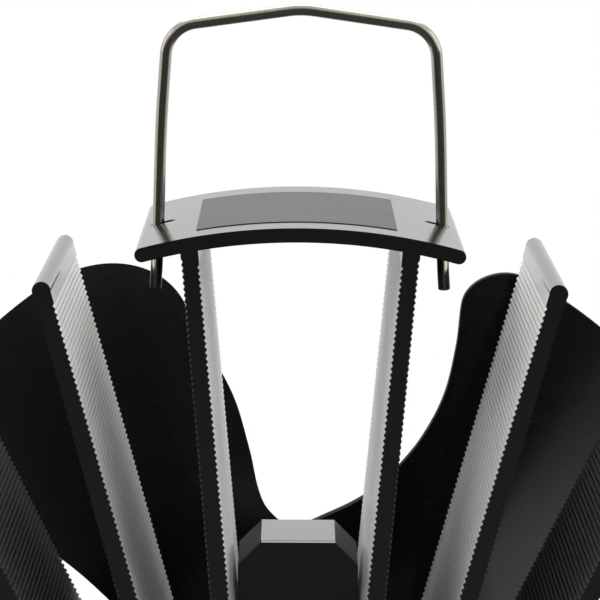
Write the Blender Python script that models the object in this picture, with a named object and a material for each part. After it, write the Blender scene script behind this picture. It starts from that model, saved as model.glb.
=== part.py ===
"""A heat-powered stove fan, modelled piece by piece at its real size.

The fan stands on the plane Z = 0 with its blades towards -Y.  The origin is the
middle of the foot face of the stand.  X runs across the fins and Z points up.
All lengths are in metres.
"""
import math

import bmesh
import bpy
from mathutils import Matrix, Vector

# Clearances shared by the whole assembly
seat_gap = 0.0003
cut_overrun = 0.002

# Stand that takes the heat from the stove
base_height = 0.082
base_foot_spread = 0.008
base_clamp_margin = 0.0145
base_foot_thickness = 0.008
base_top_thickness = 0.008
base_leg_thickness = 0.0070
base_leg_foot_share = 1.4
base_window_radius = 0.003
base_edge_radius = 0.0015

# Thermoelectric module and its pads
module_width = 0.040
module_tab_length = 0.003
ceramic_thickness = 0.0008
pellet_height = 0.0017
pellet_width = 0.0028
pellet_edge_gap = 0.0020
pellet_rows = 8
module_seal_width = 0.0012
pad_thickness = 0.0005

# Heat sink extrusion
sink_height = 0.128
platform_thickness = 0.010
platform_edge = 0.0006
arch_radius = 0.1175
arch_overhang = 0.0085
arch_thickness = 0.00275
fin_tip_thickness = 0.0030
fin_root_thickness = 0.0037
fin_bulb_radius = 0.0018
free_fin_rise = 0.0004
centre_fin_flare = 0.0098
outer_fin_spread = 0.0310
outer_root_gap = 0.0056
side_fin_spread = 0.0380
side_root_gap = 0.0099
lead_hole_radius = 0.0035
lead_hole_gap = 0.0030
lead_hole_wall = 0.0028

# Screws that clamp the module between stand and heat sink
clamp_screw_radius = 0.0020
clamp_module_gap = 0.0015
clamp_screw_roof = 0.0025
clamp_head_radius = 0.0036
clamp_head_height = 0.0028
clamp_socket_radius = 0.0016
clamp_socket_depth = 0.0016
spring_washer_thickness = 0.0009
bush_wall = 0.0010
bush_flange_width = 0.0009
bush_flange_thickness = 0.0011

# Motor housing that stands between the centre fins
housing_headroom = 0.0311
housing_shoulder_gap = 0.0013
housing_shoulder_drop = 0.0046
housing_back_room = 0.0130
housing_can_show = 0.0130
housing_wall = 0.0015
housing_fin_gap = 0.0005
housing_cover_thickness = 0.0016
housing_tab_length = 0.0075
housing_tab_gap = 0.0017
housing_screw_x = 0.0043
housing_tab_thickness = 0.002
housing_screw_radius = 0.0013
housing_screw_floor = 0.004
cover_screw_radius = 0.0009
cover_screw_rise = 0.0091
cover_screw_bite = 0.008
cover_post_wall = 0.0012
cover_post_gap = 0.0002
screw_head_ratio = 1.9
screw_head_height_ratio = 1.2
screw_crown_share = 0.75
screw_rim_share = 0.35
lead_window_width = 0.0075
lead_window_height = 0.0042
lead_window_radius = 0.0014

# Motor
motor_floor_gap = 0.0026
shaft_radius = 0.0010
can_radius = 0.0084
can_flat_depth = 0.0009
can_side_gap = 0.0007
can_wall = 0.0008
can_length = 0.0210
can_boss_wall = 0.0006
can_boss_length = 0.0018
end_cap_thickness = 0.0024
bearing_wall = 0.0009
bearing_setback = 0.0002
magnet_thickness = 0.0011
magnet_half_angle = math.radians(40)
magnet_end_gap = 0.0030
armature_air_gap = 0.0006
armature_end_gap = 0.0005
armature_core_radius = 0.0024
pole_neck_width = 0.0022
pole_shoe_thickness = 0.0011
pole_slot_width = 0.0013
winding_margin = 0.0012
commutator_radius = 0.0021
commutator_length = 0.0030
brush_width = 0.0012
brush_length = 0.0024
brush_thickness = 0.0004
terminal_width = 0.0022
terminal_thickness = 0.0005
terminal_length = 0.0024
terminal_bearing_gap = 0.0006

# Leads from the module to the motor
lead_radius = 0.00075
lead_spacing = 0.0040
lead_grommet_gap = 0.00005
lead_turn_share = 0.8
lead_hole_share = 0.33
lead_bend_share = 3
lead_entry_drop = 0.0035
grommet_wall = 0.0008
grommet_flange_width = 0.0009
grommet_flange_thickness = 0.0008

# Blades and hub
blade_count = 4
blade_stove_gap = 0.0095
blade_sink_gap = 0.00336
lead_reach_share = 0.353
blade_thickness = 0.0015
blade_pitch = math.radians(16)
blade_camber = 0.0022
blade_camber_span_share = 1.3
valley_radius = 0.031
valley_step = 0.005
pitch_ease_length = 0.019
lead_corner_radius = 0.0112
trail_corner_radius = 0.019
trail_corner_length = 0.028
hub_motor_gap = 0.00505
hub_sleeve_radius = 0.0040
hub_flange_radius = 0.0080
hub_flange_thickness = 0.0016
hub_boss_radius = 0.0048
hub_boss_length = 0.0075
hub_nut_wall = 0.0017
hub_nut_thickness = 0.0032
hub_sleeve_overhang = 0.0012
grub_screw_radius = 0.0013

# Wire handle
wire_radius = 0.00118
handle_y = 0.0015
handle_peak_rise = 0.0392
handle_bar_slope = math.radians(8)
handle_corner_radius = 0.0067
handle_peak_radius = 0.019
handle_edge_margin = 0.0033
handle_corner_draw = 0.0018
handle_mid_draw = 0.0006
handle_mid_rise = 0.0165
handle_foot_splay = 0.0006
handle_foot_drop = 0.0163
crimp_length = 0.0070
crimp_half_width = 0.00120
crimp_half_depth = 0.0020
slot_play = 0.0034
slot_gap = 0.0003

# Blank rating label
label_width = 0.0386
label_length = 0.0464
label_thickness = 0.0003
label_shift_x = 0.0007
label_shift_y = 0.0008

# Levels worked out from the sizes above, from the stove upwards
hot_pad_z = base_height + seat_gap
hot_plate_z = hot_pad_z + pad_thickness + seat_gap
pellet_z = hot_plate_z + ceramic_thickness + seat_gap
cold_plate_z = pellet_z + pellet_height + seat_gap
cold_pad_z = cold_plate_z + ceramic_thickness + seat_gap
sink_z = cold_pad_z + pad_thickness + seat_gap
platform_z = sink_z + platform_thickness
apex_z = sink_z + sink_height
arch_centre_z = apex_z - arch_radius
hub_z = platform_z + can_radius + motor_floor_gap
housing_top_z = hub_z + can_radius + housing_headroom
cover_screw_z = hub_z + can_radius + cover_screw_rise
lead_entry_z = hub_z - lead_entry_drop

# Widths and depths that follow the module
lead_hole_y = module_width / 2 + lead_hole_gap + lead_hole_radius
sink_depth = 2 * (lead_hole_y + lead_hole_radius + lead_hole_wall)
clamp_screw_x = module_width / 2 + clamp_module_gap + clamp_screw_radius
clamp_screw_bite = platform_thickness - clamp_screw_roof
housing_screw_bite = platform_thickness - housing_screw_floor
base_top_width = 2 * (clamp_screw_x + base_clamp_margin)
base_foot_width = base_top_width + 2 * base_foot_spread
pellet_field = module_width - 2 * (module_seal_width + pellet_edge_gap)
pellet_pitch = (pellet_field - pellet_width) / (pellet_rows - 1)

# Motor sizes that follow the can
can_width = 2 * (can_radius - can_flat_depth)
bearing_radius = shaft_radius + seat_gap + bearing_wall
bearing_length = end_cap_thickness - bearing_setback
can_boss_radius = bearing_radius + seat_gap + can_boss_wall
magnet_length = can_length - 2 * magnet_end_gap
magnet_outer_radius = can_radius - can_wall - seat_gap
armature_radius = magnet_outer_radius - magnet_thickness - armature_air_gap
armature_end_room = commutator_length + seat_gap + winding_margin + armature_end_gap
armature_length = can_length - 2 * armature_end_room
terminal_x = bearing_radius + seat_gap + terminal_width / 2 + terminal_bearing_gap

# Fins: the centre pair stands round the motor and each next pair beside the one before
fin_run = apex_z - platform_z
fin_foot_thickness = fin_tip_thickness + (fin_root_thickness - fin_tip_thickness) * fin_run / sink_height
centre_hub_x = can_width / 2 + can_side_gap + housing_wall + housing_fin_gap
centre_fin_reach = centre_hub_x + centre_fin_flare
centre_fin_lean = math.atan(centre_fin_flare / (apex_z - hub_z))
centre_root_x = centre_fin_reach - math.tan(centre_fin_lean) * fin_run
outer_root_x = centre_root_x + fin_foot_thickness / math.cos(centre_fin_lean) + outer_root_gap
outer_fin_reach = centre_fin_reach + outer_fin_spread
outer_fin_lean = math.atan((outer_fin_reach - outer_root_x) / fin_run)
side_root_x = outer_root_x + fin_foot_thickness / math.cos(outer_fin_lean) + side_root_gap
side_fin_reach = outer_fin_reach + side_fin_spread
side_fin_lean = math.atan((side_fin_reach - side_root_x) / fin_run)
arch_width = 2 * (centre_fin_reach + fin_tip_thickness + arch_overhang)

# Housing between the centre fins
shoulder_drop_z = apex_z - housing_top_z + housing_shoulder_drop
shoulder_fin_x = centre_fin_reach - math.tan(centre_fin_lean) * shoulder_drop_z
housing_width = 2 * (shoulder_fin_x - housing_shoulder_gap)
housing_tab_width = 2 * (centre_root_x - housing_tab_gap)

# Blades clear the stove and the fins, and the motor stands behind the hub
blade_radius = hub_z - blade_stove_gap
blade_reach_y = blade_radius * lead_reach_share * math.tan(blade_pitch)
blade_plane_y = -sink_depth / 2 - blade_sink_gap - blade_reach_y
disc_radius = valley_radius - valley_step
pitch_full_radius = valley_radius + pitch_ease_length
hub_bore_radius = shaft_radius + seat_gap
hub_nut_width = 2 * (hub_sleeve_radius + seat_gap + hub_nut_wall)
hub_back_y = blade_plane_y + blade_thickness / 2 + seat_gap + hub_flange_thickness + hub_boss_length
can_front_y = hub_back_y + hub_motor_gap + can_boss_length
can_back_y = can_front_y + can_length
housing_front_y = can_front_y + housing_can_show
housing_back_y = can_back_y + housing_back_room

# Handle legs follow the edge of the arch plate
handle_plate_x = arch_width / 2 - handle_edge_margin
handle_mid_x = handle_plate_x - handle_mid_draw
handle_foot_x = handle_plate_x + handle_foot_splay
slot_inner_x = handle_plate_x - slot_play

# The bar and the straight top of the leg would meet in a sharp corner, which the bend rounds off
handle_ridge_z = apex_z + handle_peak_rise + handle_peak_radius * (1 / math.cos(handle_bar_slope) - 1)
handle_corner_x = handle_plate_x - handle_corner_draw
handle_corner_z = handle_ridge_z - math.tan(handle_bar_slope) * handle_corner_x
handle_leg_rise = handle_corner_z - apex_z - handle_mid_rise
handle_leg_lean = math.atan((handle_mid_x - handle_corner_x) / handle_leg_rise)
handle_corner_turn = math.pi / 2 - handle_bar_slope - handle_leg_lean
handle_corner_reach = handle_corner_radius * math.tan(handle_corner_turn / 2)
handle_shoulder_x = handle_corner_x + handle_corner_reach * math.sin(handle_leg_lean)
handle_shoulder_z = handle_corner_z - handle_corner_reach * math.cos(handle_leg_lean)

# Blade edges: share of the way from the valley circle to the tip circle, and
# the angle from the blade's own radius there, in degrees
lead_edge_shares = (
    (0.0, -46.5), (0.032, -39.0), (0.091, -30.5), (0.152, -25.3), (0.221, -22.0),
    (0.304, -19.7), (0.402, -18.3), (0.544, -18.3), (0.710, -20.3), (0.865, -22.5), (1.0, -22.5),
)
trail_edge_shares = (
    (0.0, 43.5), (0.028, 37.5), (0.092, 33.1), (0.243, 32.2), (0.406, 31.4),
    (0.587, 28.8), (0.694, 27.5), (1.0, 27.1),
)
blade_row_shares = (
    0.0, 0.008, 0.025, 0.055, 0.10, 0.16, 0.24, 0.33, 0.44, 0.56, 0.68, 0.77, 0.85,
    0.91, 0.95, 0.975, 0.991, 1.0,
)

colours = {
    "black_anodised": ((0.012, 0.012, 0.013), 0.38, 0.0),
    "black_painted": ((0.010, 0.010, 0.011), 0.22, 0.0),
    "black_moulded": ((0.014, 0.014, 0.015), 0.42, 0.0),
    "stainless": ((0.62, 0.60, 0.57), 0.16, 1.0),
    "zinc_steel": ((0.55, 0.55, 0.56), 0.34, 1.0),
    "brass": ((0.72, 0.52, 0.22), 0.28, 1.0),
    "copper": ((0.70, 0.32, 0.18), 0.30, 1.0),
    "alumina": ((0.80, 0.79, 0.76), 0.55, 0.0),
    "bismuth": ((0.30, 0.30, 0.33), 0.45, 1.0),
    "graphite": ((0.045, 0.045, 0.048), 0.50, 0.0),
    "silicone_white": ((0.70, 0.70, 0.68), 0.60, 0.0),
    "red_silicone": ((0.45, 0.02, 0.015), 0.45, 0.0),
    "black_silicone": ((0.015, 0.015, 0.015), 0.45, 0.0),
    "ferrite": ((0.030, 0.030, 0.032), 0.60, 0.0),
    "label_film": ((0.060, 0.060, 0.062), 0.40, 0.0),
}


def clear_objects():
    for thing in list(bpy.data.objects):
        bpy.data.objects.remove(thing)


def material(name):
    """One Principled material for each finish, made the first time it is asked for."""
    found = bpy.data.materials.get(name)
    if found:
        return found
    colour, roughness, metallic = colours[name]
    made = bpy.data.materials.new(name)
    made.use_nodes = True
    shader = made.node_tree.nodes["Principled BSDF"]
    shader.inputs["Base Color"].default_value = (*colour, 1.0)
    shader.inputs["Roughness"].default_value = roughness
    shader.inputs["Metallic"].default_value = metallic
    return made


def add_object(name, bm, finish, smooth=False):
    """Turn a bmesh into a named object with its material."""
    bmesh.ops.remove_doubles(bm, verts=bm.verts, dist=seat_gap / 1000)
    bmesh.ops.recalc_face_normals(bm, faces=bm.faces)
    mesh = bpy.data.meshes.new(name)
    bm.to_mesh(mesh)
    bm.free()
    if smooth:
        mesh.shade_smooth()
        mesh.set_sharp_from_angle(angle=math.radians(35))
    made = bpy.data.objects.new(name, mesh)
    bpy.context.collection.objects.link(made)
    if finish:
        made.data.materials.append(material(finish))
    return made


def add_cutter(name, bm):
    """A guide that only cuts others."""
    cutter = add_object(name, bm, None)
    cutter.hide_render = True
    cutter.display_type = "WIRE"
    return cutter


def boolean(target, other, operation):
    step = target.modifiers.new(operation.lower(), "BOOLEAN")
    step.operation = operation
    step.object = other
    step.solver = "EXACT"


def cut(target, bm):
    boolean(target, add_cutter(target.name + "_cutter", bm), "DIFFERENCE")


def fuse(target, bm):
    boolean(target, add_cutter(target.name + "_form", bm), "UNION")


def arc(centre, radius, start, end, steps):
    """Points on an arc in the XZ plane, both ends included; angles run from +X towards +Z."""
    points = []
    for step in range(steps + 1):
        angle = start + (end - start) * step / steps
        points.append((centre[0] + radius * math.cos(angle), centre[1] + radius * math.sin(angle)))
    return points


def rounded(points, radius, steps=4):
    """The same outline with its corners rounded."""
    result = []
    count = len(points)
    for index, point in enumerate(points):
        here = Vector(point)
        back = (Vector(points[index - 1]) - here)
        ahead = (Vector(points[(index + 1) % count]) - here)
        half = back.angle(ahead) / 2
        reach = radius / math.tan(half)
        reach = min(reach, back.length / 2, ahead.length / 2)
        size = reach * math.tan(half)
        centre = here + (back.normalized() + ahead.normalized()).normalized() * (size / math.sin(half))
        first = here + back.normalized() * reach - centre
        last = here + ahead.normalized() * reach - centre
        for step in range(steps + 1):
            mix = first.lerp(last, step / steps).normalized() * size
            result.append(tuple(centre + mix))
    return result


def ribbon(points, half_width):
    """Outline of a strip of even width along a line."""
    left, right = [], []
    for index, point in enumerate(points):
        here = Vector(point)
        back = here - Vector(points[index - 1]) if index else None
        ahead = Vector(points[index + 1]) - here if index < len(points) - 1 else None
        first = (back or ahead).normalized().orthogonal()
        second = (ahead or back).normalized().orthogonal()
        out = (first + second).normalized()
        out *= half_width / out.dot(first)
        left.append(tuple(here + out))
        right.append(tuple(here - out))
    return left + right[::-1]


def prism(outline, start, end, holes=(), axis="Y"):
    """A straight extrusion of an outline, with through holes, along Y or Z.

    The outline is in (X, Z) for Y and in (X, Y) for Z.
    """
    bm = bmesh.new()
    edges = []
    for loop in (outline, *holes):
        verts = []
        for a, b in loop:
            place = (a, start, b) if axis == "Y" else (a, b, start)
            verts.append(bm.verts.new(place))
        for index, vert in enumerate(verts):
            edges.append(bm.edges.new((vert, verts[(index + 1) % len(verts)])))
    filled = bmesh.ops.triangle_fill(bm, edges=edges, use_beauty=True)
    faces = [item for item in filled["geom"] if isinstance(item, bmesh.types.BMFace)]
    grown = bmesh.ops.extrude_face_region(bm, geom=faces, use_keep_orig=True)
    moved = [item for item in grown["geom"] if isinstance(item, bmesh.types.BMVert)]
    shift = Vector((0, end - start, 0)) if axis == "Y" else Vector((0, 0, end - start))
    bmesh.ops.translate(bm, verts=moved, vec=shift)
    return bm


def rectangle(half_width, low, high, middle=0):
    left = middle - half_width
    right = middle + half_width
    return [(left, low), (right, low), (right, high), (left, high)]


def block(low, high):
    """A box between two corners."""
    outline = [(low[0], low[2]), (high[0], low[2]), (high[0], high[2]), (low[0], high[2])]
    return prism(outline, low[1], high[1])


def turned(profile, place, axis, steps=32):
    """A turned solid: (radius, height) points spun round an axis through a place."""
    bm = bmesh.new()
    verts = [bm.verts.new((radius, 0, height)) for radius, height in profile]
    edges = [bm.edges.new((a, b)) for a, b in zip(verts, verts[1:])]
    if profile[0][0] > 0:
        edges.append(bm.edges.new((verts[-1], verts[0])))
    geometry = verts + edges
    up = (0, 0, 1)
    bmesh.ops.spin(bm, geom=geometry, cent=(0, 0, 0), axis=up, angle=math.tau, steps=steps, use_merge=True)
    bmesh.ops.remove_doubles(bm, verts=bm.verts, dist=seat_gap / 1000)
    turn = Vector(up).rotation_difference(Vector(axis)).to_matrix().to_4x4()
    bmesh.ops.transform(bm, matrix=Matrix.Translation(place) @ turn, verts=bm.verts)
    return bm


def rod(radius, length):
    return [(0, 0), (radius, 0), (radius, length), (0, length)]


def sleeve(inner, outer, length):
    return [(inner, 0), (outer, 0), (outer, length), (inner, length)]


def cylinder(radius, start, length, axis, steps=24):
    return turned(rod(radius, length), start, axis, steps)


def join(bm, other):
    """Add a second separate solid to a bmesh."""
    mesh = bpy.data.meshes.new("joined")
    other.to_mesh(mesh)
    other.free()
    bm.from_mesh(mesh)
    bpy.data.meshes.remove(mesh)
    return bm


def smooth_value(table, share):
    """Smooth curve through a table of (share, value) points."""
    last = len(table) - 1
    index = 0
    while index < last - 1 and share > table[index + 1][0]:
        index += 1
    (x0, y0), (x1, y1) = table[index], table[index + 1]

    def slope(k):
        low, high = max(k - 1, 0), min(k + 1, last)
        return (table[high][1] - table[low][1]) / (table[high][0] - table[low][0])

    width = x1 - x0
    t = (share - x0) / width
    h00 = (1 + 2 * t) * (1 - t) ** 2
    h10 = t * (1 - t) ** 2
    h01 = t * t * (3 - 2 * t)
    h11 = t * t * (t - 1)
    return h00 * y0 + h10 * width * slope(index) + h01 * y1 + h11 * width * slope(index + 1)


# Stand

def base_outlines():
    half_foot = base_foot_width / 2
    half_top = base_top_width / 2
    outer = [(-half_foot, 0), (half_foot, 0), (half_foot, base_foot_thickness / 2),
             (half_top, base_height - base_top_thickness / 2), (half_top, base_height),
             (-half_top, base_height), (-half_top, base_height - base_top_thickness / 2),
             (-half_foot, base_foot_thickness / 2)]
    window_low = half_foot - base_leg_thickness * base_leg_foot_share
    window_high = half_top - base_leg_thickness
    window = [(-window_low, base_foot_thickness), (window_low, base_foot_thickness),
              (window_high, base_height - base_top_thickness), (-window_high, base_height - base_top_thickness)]
    return rounded(outer, base_edge_radius, 2), rounded(window, base_window_radius, 5)


def clamp_places():
    return (("left", -clamp_screw_x), ("right", clamp_screw_x))


def bush_radius():
    return clamp_screw_radius + seat_gap + bush_wall


def build_base():
    outer, window = base_outlines()
    base = add_object("base_stand", prism(outer, -sink_depth / 2, sink_depth / 2, [window]), "black_anodised")
    holes = bmesh.new()
    low = base_height - base_top_thickness - cut_overrun
    for _, x in clamp_places():
        height = base_top_thickness + 2 * cut_overrun
        join(holes, cylinder(bush_radius() + seat_gap, (x, 0, low), height, (0, 0, 1)))
    cut(base, holes)


# Thermoelectric module

def sheet(width, low, thickness, back_extra=0):
    half = width / 2
    return block((-half, -half, low), (half, half + back_extra, low + thickness))


def pellet_chain_line():
    """Centre line of the winding row in which the pellets stand, each joined to the next."""
    last = (pellet_rows - 1) * pellet_pitch / 2
    points = []
    for row in range(pellet_rows):
        y = -last + row * pellet_pitch
        way = 1 if row % 2 == 0 else -1
        points += [(-way * last, y), (way * last, y)]
    return points


def build_module():
    add_object("hot_side_pad", sheet(module_width, hot_pad_z, pad_thickness), "graphite")
    hot_plate = sheet(module_width, hot_plate_z, ceramic_thickness, module_tab_length)
    add_object("module_hot_plate", hot_plate, "alumina")
    add_object("module_cold_plate", sheet(module_width, cold_plate_z, ceramic_thickness), "alumina")
    add_object("cold_side_pad", sheet(module_width, cold_pad_z, pad_thickness), "graphite")
    chain = ribbon(pellet_chain_line(), pellet_width / 2)
    add_object("module_pellet_chain", prism(chain, pellet_z, pellet_z + pellet_height, axis="Z"), "bismuth")
    outer = rectangle(module_width / 2, -module_width / 2, module_width / 2)
    inside = module_width / 2 - module_seal_width
    seal = prism(outer, pellet_z, pellet_z + pellet_height, [rectangle(inside, -inside, inside)], "Z")
    add_object("module_seal", seal, "silicone_white")


# Heat sink

def fin_thickness(drop):
    """Thickness of a fin at a depth below the top of the arch."""
    return fin_tip_thickness + (fin_root_thickness - fin_tip_thickness) * drop / sink_height


def inner_x(reach, lean, z):
    return reach + math.tan(lean) * (z - apex_z)


def outer_x(reach, lean, z):
    return inner_x(reach, lean, z) + fin_thickness(apex_z - z) / math.cos(lean)


def height_at_arc(side, reach, lean, radius):
    """Height where a fin's face meets a circle about the arch's centre."""
    z = apex_z
    for _ in range(12):
        x = side(reach, lean, z)
        z = arch_centre_z + math.sqrt(radius * radius - x * x)
    return z


def free_fin_points(reach, lean):
    """Outer root, bulb and inner root of a fin whose tip stands free, right-hand side."""
    tip_circle = arch_radius + free_fin_rise - fin_bulb_radius
    outer_z = height_at_arc(outer_x, reach, lean, tip_circle)
    inner_z = height_at_arc(inner_x, reach, lean, tip_circle)
    z = (outer_z + inner_z) / 2
    x = (inner_x(reach, lean, z) + outer_x(reach, lean, z)) / 2
    neck = math.asin(fin_thickness(apex_z - z) / 2 / fin_bulb_radius)
    forward = math.pi / 2 - lean
    bulb = arc((x, z), fin_bulb_radius, forward - math.pi + neck, forward + math.pi - neck, 12)
    outer_root = (outer_x(reach, lean, platform_z), platform_z)
    inner_root = (inner_x(reach, lean, platform_z), platform_z)
    return [outer_root, *bulb, inner_root]


def mirrored(points):
    return [(-x, z) for x, z in reversed(points)]


def sink_outlines():
    """Outer outline and the closed window between the centre fins."""
    half_platform = outer_x(side_fin_reach, side_fin_lean, platform_z) + platform_edge
    end_radius = arch_thickness / 2
    middle_radius = arch_radius - end_radius
    spread = math.asin((arch_width / 2 - end_radius) / middle_radius)
    under_radius = arch_radius - arch_thickness
    centre = (0, arch_centre_z)
    outer_top = height_at_arc(outer_x, centre_fin_reach, centre_fin_lean, under_radius)
    inner_top = height_at_arc(inner_x, centre_fin_reach, centre_fin_lean, under_radius)
    outer_top_x = outer_x(centre_fin_reach, centre_fin_lean, outer_top)
    inner_top_x = inner_x(centre_fin_reach, centre_fin_lean, inner_top)
    right = math.pi / 2
    outer_angle = math.asin(outer_top_x / under_radius)
    inner_angle = math.asin(inner_top_x / under_radius)
    end_centre = (middle_radius * math.sin(spread), arch_centre_z + middle_radius * math.cos(spread))
    half = [(half_platform, sink_z), (half_platform, platform_z)]
    half += free_fin_points(side_fin_reach, side_fin_lean)
    half += free_fin_points(outer_fin_reach, outer_fin_lean)
    half.append((outer_x(centre_fin_reach, centre_fin_lean, platform_z), platform_z))
    half += arc(centre, under_radius, right - outer_angle, right - spread, 5)
    half += arc(end_centre, end_radius, right - spread - math.pi, right - spread, 8)[1:-1]
    top = arc(centre, arch_radius, right - spread, right + spread, 24)
    outline = half + top + mirrored(half)
    inner_root = inner_x(centre_fin_reach, centre_fin_lean, platform_z)
    window = [(-inner_root, platform_z), (inner_root, platform_z)]
    window += arc(centre, under_radius, right - inner_angle, right + inner_angle, 14)
    return outline, window


def slot_outline(side):
    """Round-ended slot for one leg of the handle, in (X, Y)."""
    half = wire_radius + slot_gap
    outer = leg_x(plate_level()) + wire_radius + slot_gap
    first = slot_inner_x + half
    last = outer - half
    points = arc((last, handle_y), half, -math.pi / 2, math.pi / 2, 8)
    points += arc((first, handle_y), half, math.pi / 2, math.pi * 1.5, 8)
    return [(side * x, y) for x, y in points]


def plate_level():
    """Height of the arch plate's underside where a leg goes through."""
    return arch_centre_z + math.sqrt((arch_radius - arch_thickness) ** 2 - handle_plate_x ** 2)


def build_heat_sink():
    outline, window = sink_outlines()
    sink = add_object("heat_sink", prism(outline, -sink_depth / 2, sink_depth / 2, [window]), "black_anodised")
    slots = bmesh.new()
    for side in (-1, 1):
        low = plate_level() - cut_overrun
        join(slots, prism(slot_outline(side), low, apex_z + cut_overrun, axis="Z"))
    cut(sink, slots)
    start = (0, lead_hole_y, sink_z - cut_overrun)
    holes = cylinder(lead_hole_radius, start, platform_thickness + 2 * cut_overrun, (0, 0, 1))
    for _, x in clamp_places():
        depth = clamp_screw_bite + seat_gap + cut_overrun
        join(holes, cylinder(clamp_screw_radius + seat_gap, (x, 0, sink_z - cut_overrun), depth, (0, 0, 1), 16))
    for _, x in housing_tab_places():
        depth = housing_screw_bite + seat_gap + cut_overrun
        start = (x, tab_hole_y(), platform_z + cut_overrun)
        join(holes, cylinder(housing_screw_radius + seat_gap, start, depth, (0, 0, -1), 16))
    cut(sink, holes)


# Clamping screws with their washers and bushes

def build_clamp_screws():
    flange_top = base_height - base_top_thickness - seat_gap
    flange_low = flange_top - bush_flange_thickness
    washer_low = flange_low - seat_gap - spring_washer_thickness
    head_top = washer_low - seat_gap
    length = sink_z + clamp_screw_bite - head_top
    bore = clamp_screw_radius + seat_gap
    tube = base_height - flange_top
    wide = bush_radius() + bush_flange_width
    screw = [(0, clamp_socket_depth), (clamp_socket_radius, clamp_socket_depth), (clamp_socket_radius, 0),
             (clamp_head_radius, 0), (clamp_head_radius, clamp_head_height),
             (clamp_screw_radius, clamp_head_height), (clamp_screw_radius, clamp_head_height + length),
             (0, clamp_head_height + length)]
    washer = sleeve(bore, clamp_head_radius, spring_washer_thickness)
    bush = [(bore, 0), (wide, 0), (wide, bush_flange_thickness), (bush_radius(), bush_flange_thickness),
            (bush_radius(), bush_flange_thickness + tube), (bore, bush_flange_thickness + tube)]
    up = (0, 0, 1)
    for side, x in clamp_places():
        head_low = head_top - clamp_head_height
        add_object("clamp_screw_" + side, turned(screw, (x, 0, head_low), up), "zinc_steel", True)
        add_object("spring_washer_" + side, turned(washer, (x, 0, washer_low), up), "zinc_steel", True)
        add_object("insulating_bush_" + side, turned(bush, (x, 0, flange_low), up), "alumina", True)


# Motor housing

def housing_half_width(z, inset):
    """Half width of the housing, which narrows with the centre fins below."""
    beside_fin = inner_x(centre_fin_reach, centre_fin_lean, z) - housing_fin_gap
    return min(housing_width / 2, beside_fin) - inset


def housing_outline(inset, low, top_inset):
    top = housing_top_z - top_inset
    shoulder = top - housing_shoulder_drop
    bend = apex_z - (centre_fin_reach - housing_fin_gap - housing_width / 2) / math.tan(centre_fin_lean)
    flat = housing_width / 2 - housing_shoulder_drop - inset * math.tan(math.pi / 8)
    half = [(housing_half_width(low, inset), low), (housing_width / 2 - inset, bend),
            (housing_width / 2 - inset, shoulder), (flat, top)]
    return half + mirrored(half)


def can_outline(grow=0):
    """Round can with two flat sides, in (X, Z)."""
    radius = can_radius + grow
    flat = can_width / 2 + grow
    side = math.acos(flat / radius)
    top = arc((0, hub_z), radius, side, math.pi - side, 12)
    bottom = arc((0, hub_z), radius, math.pi + side, math.tau - side, 12)
    return top + bottom


def housing_low():
    return platform_z + seat_gap


def housing_tab_places():
    return (("left", -housing_screw_x), ("right", housing_screw_x))


def tab_hole_y():
    return housing_back_y + housing_tab_length / 2


def cover_screw_places():
    x = housing_half_width(cover_screw_z, housing_wall) - cover_post_radius() - cover_post_gap
    return (("left", -x, cover_screw_z), ("right", x, cover_screw_z))


def cover_post_radius():
    return cover_screw_radius + seat_gap + cover_post_wall


def cover_front_y():
    return housing_back_y - housing_cover_thickness


def build_housing():
    low = housing_low()
    back = cover_front_y() - seat_gap
    body = prism(housing_outline(0, low, 0), housing_front_y, back)
    housing = add_object("motor_housing", body, "black_moulded")
    cavity = housing_outline(housing_wall, low + housing_tab_thickness, housing_wall)
    cut(housing, prism(cavity, housing_front_y + housing_wall, back + cut_overrun))
    posts = bmesh.new()
    pilots = bmesh.new()
    sink_in = housing_wall / 2
    for _, x, z in cover_screw_places():
        length = back - housing_front_y - sink_in
        join(posts, cylinder(cover_post_radius(), (x, back, z), length, (0, -1, 0), 16))
        depth = cover_screw_bite + seat_gap + cut_overrun
        join(pilots, cylinder(cover_screw_radius + seat_gap, (x, back + cut_overrun, z), depth, (0, -1, 0), 12))
    fuse(housing, posts)
    half_tab = housing_tab_width / 2
    tab_end = (half_tab, housing_back_y + housing_tab_length, low + housing_tab_thickness)
    fuse(housing, block((-half_tab, back - housing_wall / 2, low), tab_end))
    cut(housing, pilots)
    front = housing_front_y - cut_overrun
    cut(housing, prism(can_outline(seat_gap), front, housing_front_y + housing_wall + cut_overrun))
    holes = bmesh.new()
    for _, x in housing_tab_places():
        start = (x, tab_hole_y(), low - cut_overrun)
        depth = housing_tab_thickness + 2 * cut_overrun
        join(holes, cylinder(housing_screw_radius + seat_gap, start, depth, (0, 0, 1), 16))
    cut(housing, holes)


def pan_screw(radius, bite):
    """Pan-head screw profile: the head below, the thread upwards."""
    head = radius * screw_head_ratio
    height = radius * screw_head_height_ratio
    return [(0, 0), (head * screw_crown_share, 0), (head, height * screw_rim_share), (head, height),
            (radius, height), (radius, height + bite), (0, height + bite)]


def build_housing_fasteners():
    low = housing_low() + housing_tab_thickness
    height = housing_screw_radius * screw_head_height_ratio
    bite = housing_screw_bite + housing_tab_thickness + seat_gap
    for side, x in housing_tab_places():
        start = (x, tab_hole_y(), low + seat_gap + height)
        screw = turned(pan_screw(housing_screw_radius, bite), start, (0, 0, -1), 20)
        add_object("housing_screw_" + side, screw, "zinc_steel", True)
    height = cover_screw_radius * screw_head_height_ratio
    bite = cover_screw_bite + housing_cover_thickness
    for side, x, z in cover_screw_places():
        start = (x, housing_back_y + seat_gap + height, z)
        screw = turned(pan_screw(cover_screw_radius, bite), start, (0, -1, 0), 20)
        add_object("cover_screw_" + side, screw, "zinc_steel", True)


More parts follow.
